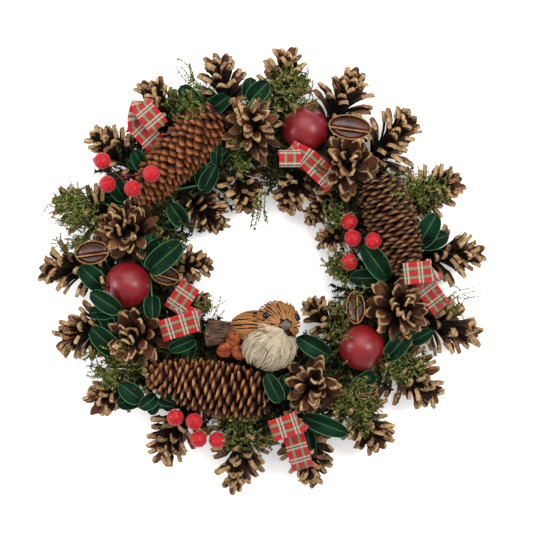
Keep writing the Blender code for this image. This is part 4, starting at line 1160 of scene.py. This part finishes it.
def capsule():
    draw = random.Random(600)
    finish = husk_finish()
    bm = bmesh.new()
    for turn, size in ((0, (3, 3, 3)), (82, (8.0, 6.2, 4.4)), (200, (7.2, 6.0, 4.4)), (318, (8.0, 6.2, 4.4))):
        made = bmesh.ops.create_icosphere(bm, subdivisions=4, radius=1)["verts"]
        seed = draw.uniform(0, 50)
        for vertex in made:
            wrinkle = noise.noise(vertex.co * 3.1 + Vector((seed, 0, 0)))
            vertex.co *= 1 + 0.1 * wrinkle + 0.05 * math.cos(3 * math.atan2(vertex.co.z, vertex.co.y))
        reach = 6.8 * MM if turn else 0
        matrix = Matrix.Translation(CAPSULE) @ Matrix.Rotation(math.radians(turn), 4, "Z")
        matrix = matrix @ Matrix.Translation((reach, 0, 0)) @ Matrix.Diagonal((*(Vector(size) * MM), 1))
        bmesh.ops.transform(bm, matrix=matrix, verts=made)
    new_piece("seed_capsule_husk", bm, [finish], ["seed_capsule"])


capsule()


# The moss: dried sprigs of olive green moss, tucked in bunches between the cones and glued to
# the ring, with thin airy sprigs standing out of it at the edges.
MOSS = [
    ("moss_top", [(-64, 140, 18, 20), (20, 146, 22, 21), (-25, 97, 13, 19)]),
    ("moss_left", [(-162, 41, 23, 26), (-82, 27, 13, 23)]),
    ("moss_lower_left", [(-126, -81, 26, 21)]),
    ("moss_bottom", [(-18, -139, 27, 16), (79, -113, 16, 26)]),
    ("moss_right", [(123, 65, 29, 18), (160, -25, 19, 13), (114, -84, 22, 13)]),
    ("moss_hole_side", [(64, 45, 18, 13), (63, -7, 14, 21), (67, -27, 14, 18), (62, -62, 10, 22),
                        (71, -108, 14, 22), (-51, -44, 7, 17)]),
]
MOSS_DENSITY = 0.84
MOSS_STRAY = 0.16
MOSS_CUSHION = 13 * MM
MOSS_TOP = 46 * MM
UNDERGROWTH = 1900
UNDERGROWTH_STEP = 12 * MM
BEDS = [
    (-34, -80, 24, 9, 90), (-14, -88, 16, 8, 50), (24, -84, 14, 8, 50), (36, -68, 10, 8, 36),
    (-26, -60, 12, 7, 36), (-62, -52, 12, 12, 40), (-70, 128, 12, 10, 40), (-86, 114, 14, 9, 50),
    (-108, 104, 10, 8, 36), (-126, 86, 11, 9, 40), (52, 92, 12, 12, 40),
]
AIRY = [((-60, 150, 40), (-66, 170, 44), 9), ((-5, 62, 34), (-4, 36, 36), 5), ((160, -22, 40), (180, -18, 44), 4),
        ((-160, 40, 40), (-178, 36, 42), 4), ((-45, -40, 42), (-37, -30, 46), 4)]
SPRIG_LEAVES = 22
SPRIG_UPWARD = Vector((0.3, 0.2, 0.9))


def moss_finish(name, dark, light):
    material, tree, shader, place, pattern = new_finish(name, 0.8)
    green, height = grained(tree, place, dark, light, 420, 1400, 4.6)
    patchy = add(tree, "TexNoise", {"Vector": place, "Scale": 45.0, "Detail": 2.0}).outputs[0]
    number = sums(tree, "FLOOR", add(tree, "SeparateXYZ", {0: pattern}).outputs[0])
    own = add(tree, "TexWhiteNoise", {"noise_dimensions": "1D", "W": number}).outputs["Value"]
    leafy = mixed(tree, stepped(tree, own, 0.15, 0.75), dark, green)
    shade = mixed(tree, sums(tree, "MULTIPLY", stepped(tree, patchy, 0.45, 0.66), 0.3), leafy, dark)
    tree.links.new(shade, shader.inputs["Base Color"])
    raised(tree, shader, height, 0.2 * MM)
    return material


def sprig(draw, leaves, size):
    """A stem from 0 to 1 in y, with small pointed leaves all round it."""
    bm = bmesh.new()
    laid(bm, tube(3, 1), [(Vector((0, 0, 0)), Vector((0.016, 0, 0)), Vector((0, 0, 0.016))),
                          (Vector((0, 1, 0)), Vector((0.01, 0, 0)), Vector((0, 0, 0.01)))])
    blade = bmesh.new()
    bmesh.ops.create_cone(blade, cap_ends=True, segments=3, radius1=0.5, radius2=0, depth=1)
    blade.transform(Matrix.Rotation(math.radians(-90), 4, "X") @ Matrix.Translation((0, 0, 0.5)))
    pattern = blade.loops.layers.uv.new("pattern")
    for face in blade.faces:
        for loop in face.loops:
            loop[pattern].uv = (0.5, loop.vert.co.y)
    leaf = template(blade, "moss_leaf")
    for number in range(leaves):
        along = 0.08 + 0.9 * (number + draw.uniform(-0.3, 0.3)) / leaves
        turn = number * GOLDEN_ANGLE + draw.uniform(-0.5, 0.5)
        outward = Vector((math.cos(turn), 0, math.sin(turn)))
        way = (outward * draw.uniform(0.7, 1.1) + Vector((0, draw.uniform(0.2, 0.9), 0))).normalized()
        length = size * draw.uniform(0.7, 1.3)
        side = way.cross(Vector((0, 1, 0)) + outward * 0.3).normalized() * length * 0.7
        flat = side.cross(way).normalized() * length * 0.4
        start = Vector((0, along, 0))
        laid(bm, leaf, [(start, side, flat), (start + way * length, side, flat)], 0, number + 1)
    return template(bm, "sprig")


def ground_under(x, y):
    """The highest surface under a place, and whether it is one that stays bare."""
    start = Vector((x, y, 0.2))
    best, kept_bare = 0.0, False
    for tree, low, high, bare in obstacles:
        if low.x <= x <= high.x and low.y <= y <= high.y:
            hit = tree.ray_cast(start, -UP)[0]
            if hit is not None and hit.z > best:
                best, kept_bare = hit.z, bare
    return best, kept_bare


def lay_sprig(bm, draw, sprigs, points, length):
    """One of the sprigs along three points, with numbers of its own for its leaves' shades."""
    chosen = draw.choice(sprigs)
    laid(bm, chosen, path(points, length, length, SPRIG_UPWARD), 0, 30 * draw.randrange(1, 40))


def moss():
    draw = random.Random(700)
    finish = moss_finish("moss", paint(34, 46, 14), paint(218, 228, 120))
    sprigs = [sprig(draw, SPRIG_LEAVES, 0.17) for _ in range(6)]
    for name, patches in MOSS:
        bm = bmesh.new()
        for x, y, half_x, half_y in patches:
            for _ in range(int(half_x * half_y * MOSS_DENSITY)):
                angle = draw.uniform(0, math.tau)
                out = draw.uniform(0, 1) ** 0.55
                offset = Vector((half_x * out * math.cos(angle), half_y * out * math.sin(angle), 0)) * MM
                place = CENTRE + Vector((x, y, 0)) * MM + offset
                level, bare = ground_under(place.x, place.y)
                if level < 6 * MM or (bare and draw.uniform(0, 1) > MOSS_STRAY):
                    continue
                cushion = MOSS_CUSHION * (1 - out**2) * draw.uniform(0, 1) ** 0.5
                top = level if bare else min(level, MOSS_TOP) + cushion
                place.z = top - draw.uniform(1, 4) * MM * (0.3 if bare else 1)
                way = Vector((draw.gauss(0, 1), draw.gauss(0, 1), draw.uniform(0.1, 1.4))).normalized()
                length = draw.uniform(6, 12) * MM
                bend = Vector((draw.gauss(0, 1), draw.gauss(0, 1), draw.gauss(0, 0.4))) * 1.5 * MM
                points = [place, place + way * length * 0.5 + bend, place + way * length]
                lay_sprig(bm, draw, sprigs, points, length)
        new_piece(name, bm, [finish], (), 60)
    sparse = [sprig(draw, 13, 0.34) for _ in range(4)]
    bm = bmesh.new()
    for _ in range(UNDERGROWTH):
        start, skin = on_tube(draw.uniform(0, 360), math.radians(draw.uniform(-25, 205)), RING_TUBE)
        way = (skin + Vector((draw.gauss(0, 0.5), draw.gauss(0, 0.5), draw.uniform(-0.1, 0.5)))).normalized()
        for step in range(draw.choice((1, 1, 2, 2, 3))):
            length = UNDERGROWTH_STEP * draw.uniform(0.8, 1.4)
            end = start + way * length
            if not open_way(start + way * 0.25 * length, end):
                break
            bend = Vector((draw.gauss(0, 1), draw.gauss(0, 1), draw.gauss(0, 0.4))) * 1.5 * MM
            lay_sprig(bm, draw, sparse, [start, start.lerp(end, 0.5) + bend, end], length)
            start = end - way * 0.15 * length
            level_way = Vector((way.x, way.y, draw.uniform(-0.3, 0.2)))
            way = (level_way + Vector((draw.gauss(0, 0.3), draw.gauss(0, 0.3), 0))).normalized()
    for x, y, half_x, half_y, count in BEDS:
        for _ in range(count):
            angle = draw.uniform(0, math.tau)
            out = draw.uniform(0, 1) ** 0.5
            place = CENTRE + Vector((x + half_x * out * math.cos(angle), y + half_y * out * math.sin(angle),
                                     draw.uniform(12, 40))) * MM
            way = Vector((draw.gauss(0, 1), draw.gauss(0, 1), draw.uniform(-0.3, 0.3))).normalized()
            end = place + way * UNDERGROWTH_STEP
            if open_way(place, end):
                lay_sprig(bm, draw, sparse, [place, place.lerp(end, 0.5), end], UNDERGROWTH_STEP)
    # The undergrowth's moss is painted darker than the rest as the shade it lies in, under the cones and the other
    # moss.
    shaded = moss_finish("moss_painted_shade", paint(24, 28, 12), paint(92, 98, 50))
    new_piece("moss_undergrowth", bm, [shaded], (), 60)
    airy = [sprig(draw, 16, 0.12) for _ in range(4)]
    bm = bmesh.new()
    for start, end, count in AIRY:
        for _ in range(count):
            first = CENTRE + Vector(start) * MM + Vector([draw.uniform(-6, 6) * MM for _axis in range(3)])
            last = CENTRE + Vector(end) * MM + Vector([draw.uniform(-9, 9) * MM for _axis in range(2)] + [0])
            bend = Vector((draw.gauss(0, 1), draw.gauss(0, 1), 2)) * 2 * MM
            length = (last - first).length
            points = [first, first.lerp(last, 0.5) + bend, last]
            lay_sprig(bm, draw, airy, points, length)
    new_piece("moss_airy_sprigs", bm, [finish], (), 60)


moss()


# The studio: a plain white floor lit a little from below, soft boxes to the left, to the right and
# above, and a camera looking straight down on the wreath.
FLOOR_GLOW = 0.22
WORLD_STRENGTH = 1.05
LAMP_DISTANCE = 1.3
LAMPS = [
    ("left_box", (-0.918, 0, 0.394), 0.5, 10),
    ("right_box", (0.572, 0.1, 0.82), 0.4, 10),
    ("top_box", (0.05, 0.75, 1.2), 1.2, 17),
]
CAMERA = (3.28 * MM, 1.84 * MM, 2.2)
SENSOR_WIDTH = 36
FACE_DISTANCE = 2.15
PICTURE_WIDTH = 0.4477


def floor_finish():
    material, tree, shader, place, _pattern = new_finish("studio_floor", 0.9)
    colour, height = grained(tree, place, (0.93, 0.93, 0.93, 1), (0.95, 0.95, 0.95, 1), 20, 300)
    tree.links.new(colour, shader.inputs["Base Color"])
    shader.inputs["Emission Color"].default_value = (1, 1, 1, 1)
    shader.inputs["Emission Strength"].default_value = FLOOR_GLOW
    return material


def studio():
    bm = bmesh.new()
    bmesh.ops.create_grid(bm, x_segments=1, y_segments=1, size=4)
    mesh = bpy.data.meshes.new("studio_floor")
    bm.to_mesh(mesh)
    bm.free()
    mesh.materials.append(floor_finish())
    floor = bpy.data.objects.new("studio_floor", mesh)
    floor.location.z = -0.5 * MM
    bpy.context.scene.collection.objects.link(floor)
    for name, way, size, power in LAMPS:
        lamp = bpy.data.lights.new(name, "AREA")
        lamp.shape = "SQUARE"
        lamp.size = size
        lamp.energy = power
        holder = bpy.data.objects.new(name, lamp)
        holder.location = Vector(way).normalized() * LAMP_DISTANCE
        holder.rotation_euler = (-Vector(way)).to_track_quat("-Z", "Y").to_euler()
        bpy.context.scene.collection.objects.link(holder)
    world = bpy.data.worlds.new("studio_world")
    world.use_nodes = True
    background = world.node_tree.nodes["Background"]
    background.inputs["Color"].default_value = (1, 1, 1, 1)
    background.inputs["Strength"].default_value = WORLD_STRENGTH
    bpy.context.scene.world = world
    lens = bpy.data.cameras.new("camera")
    lens.lens = SENSOR_WIDTH * FACE_DISTANCE / PICTURE_WIDTH
    lens.sensor_width = SENSOR_WIDTH
    lens.clip_start = 0.1
    camera = bpy.data.objects.new("camera", lens)
    camera.location = CAMERA
    bpy.context.scene.collection.objects.link(camera)
    bpy.context.scene.camera = camera


studio()
bpy.context.scene.view_settings.view_transform = "Standard"
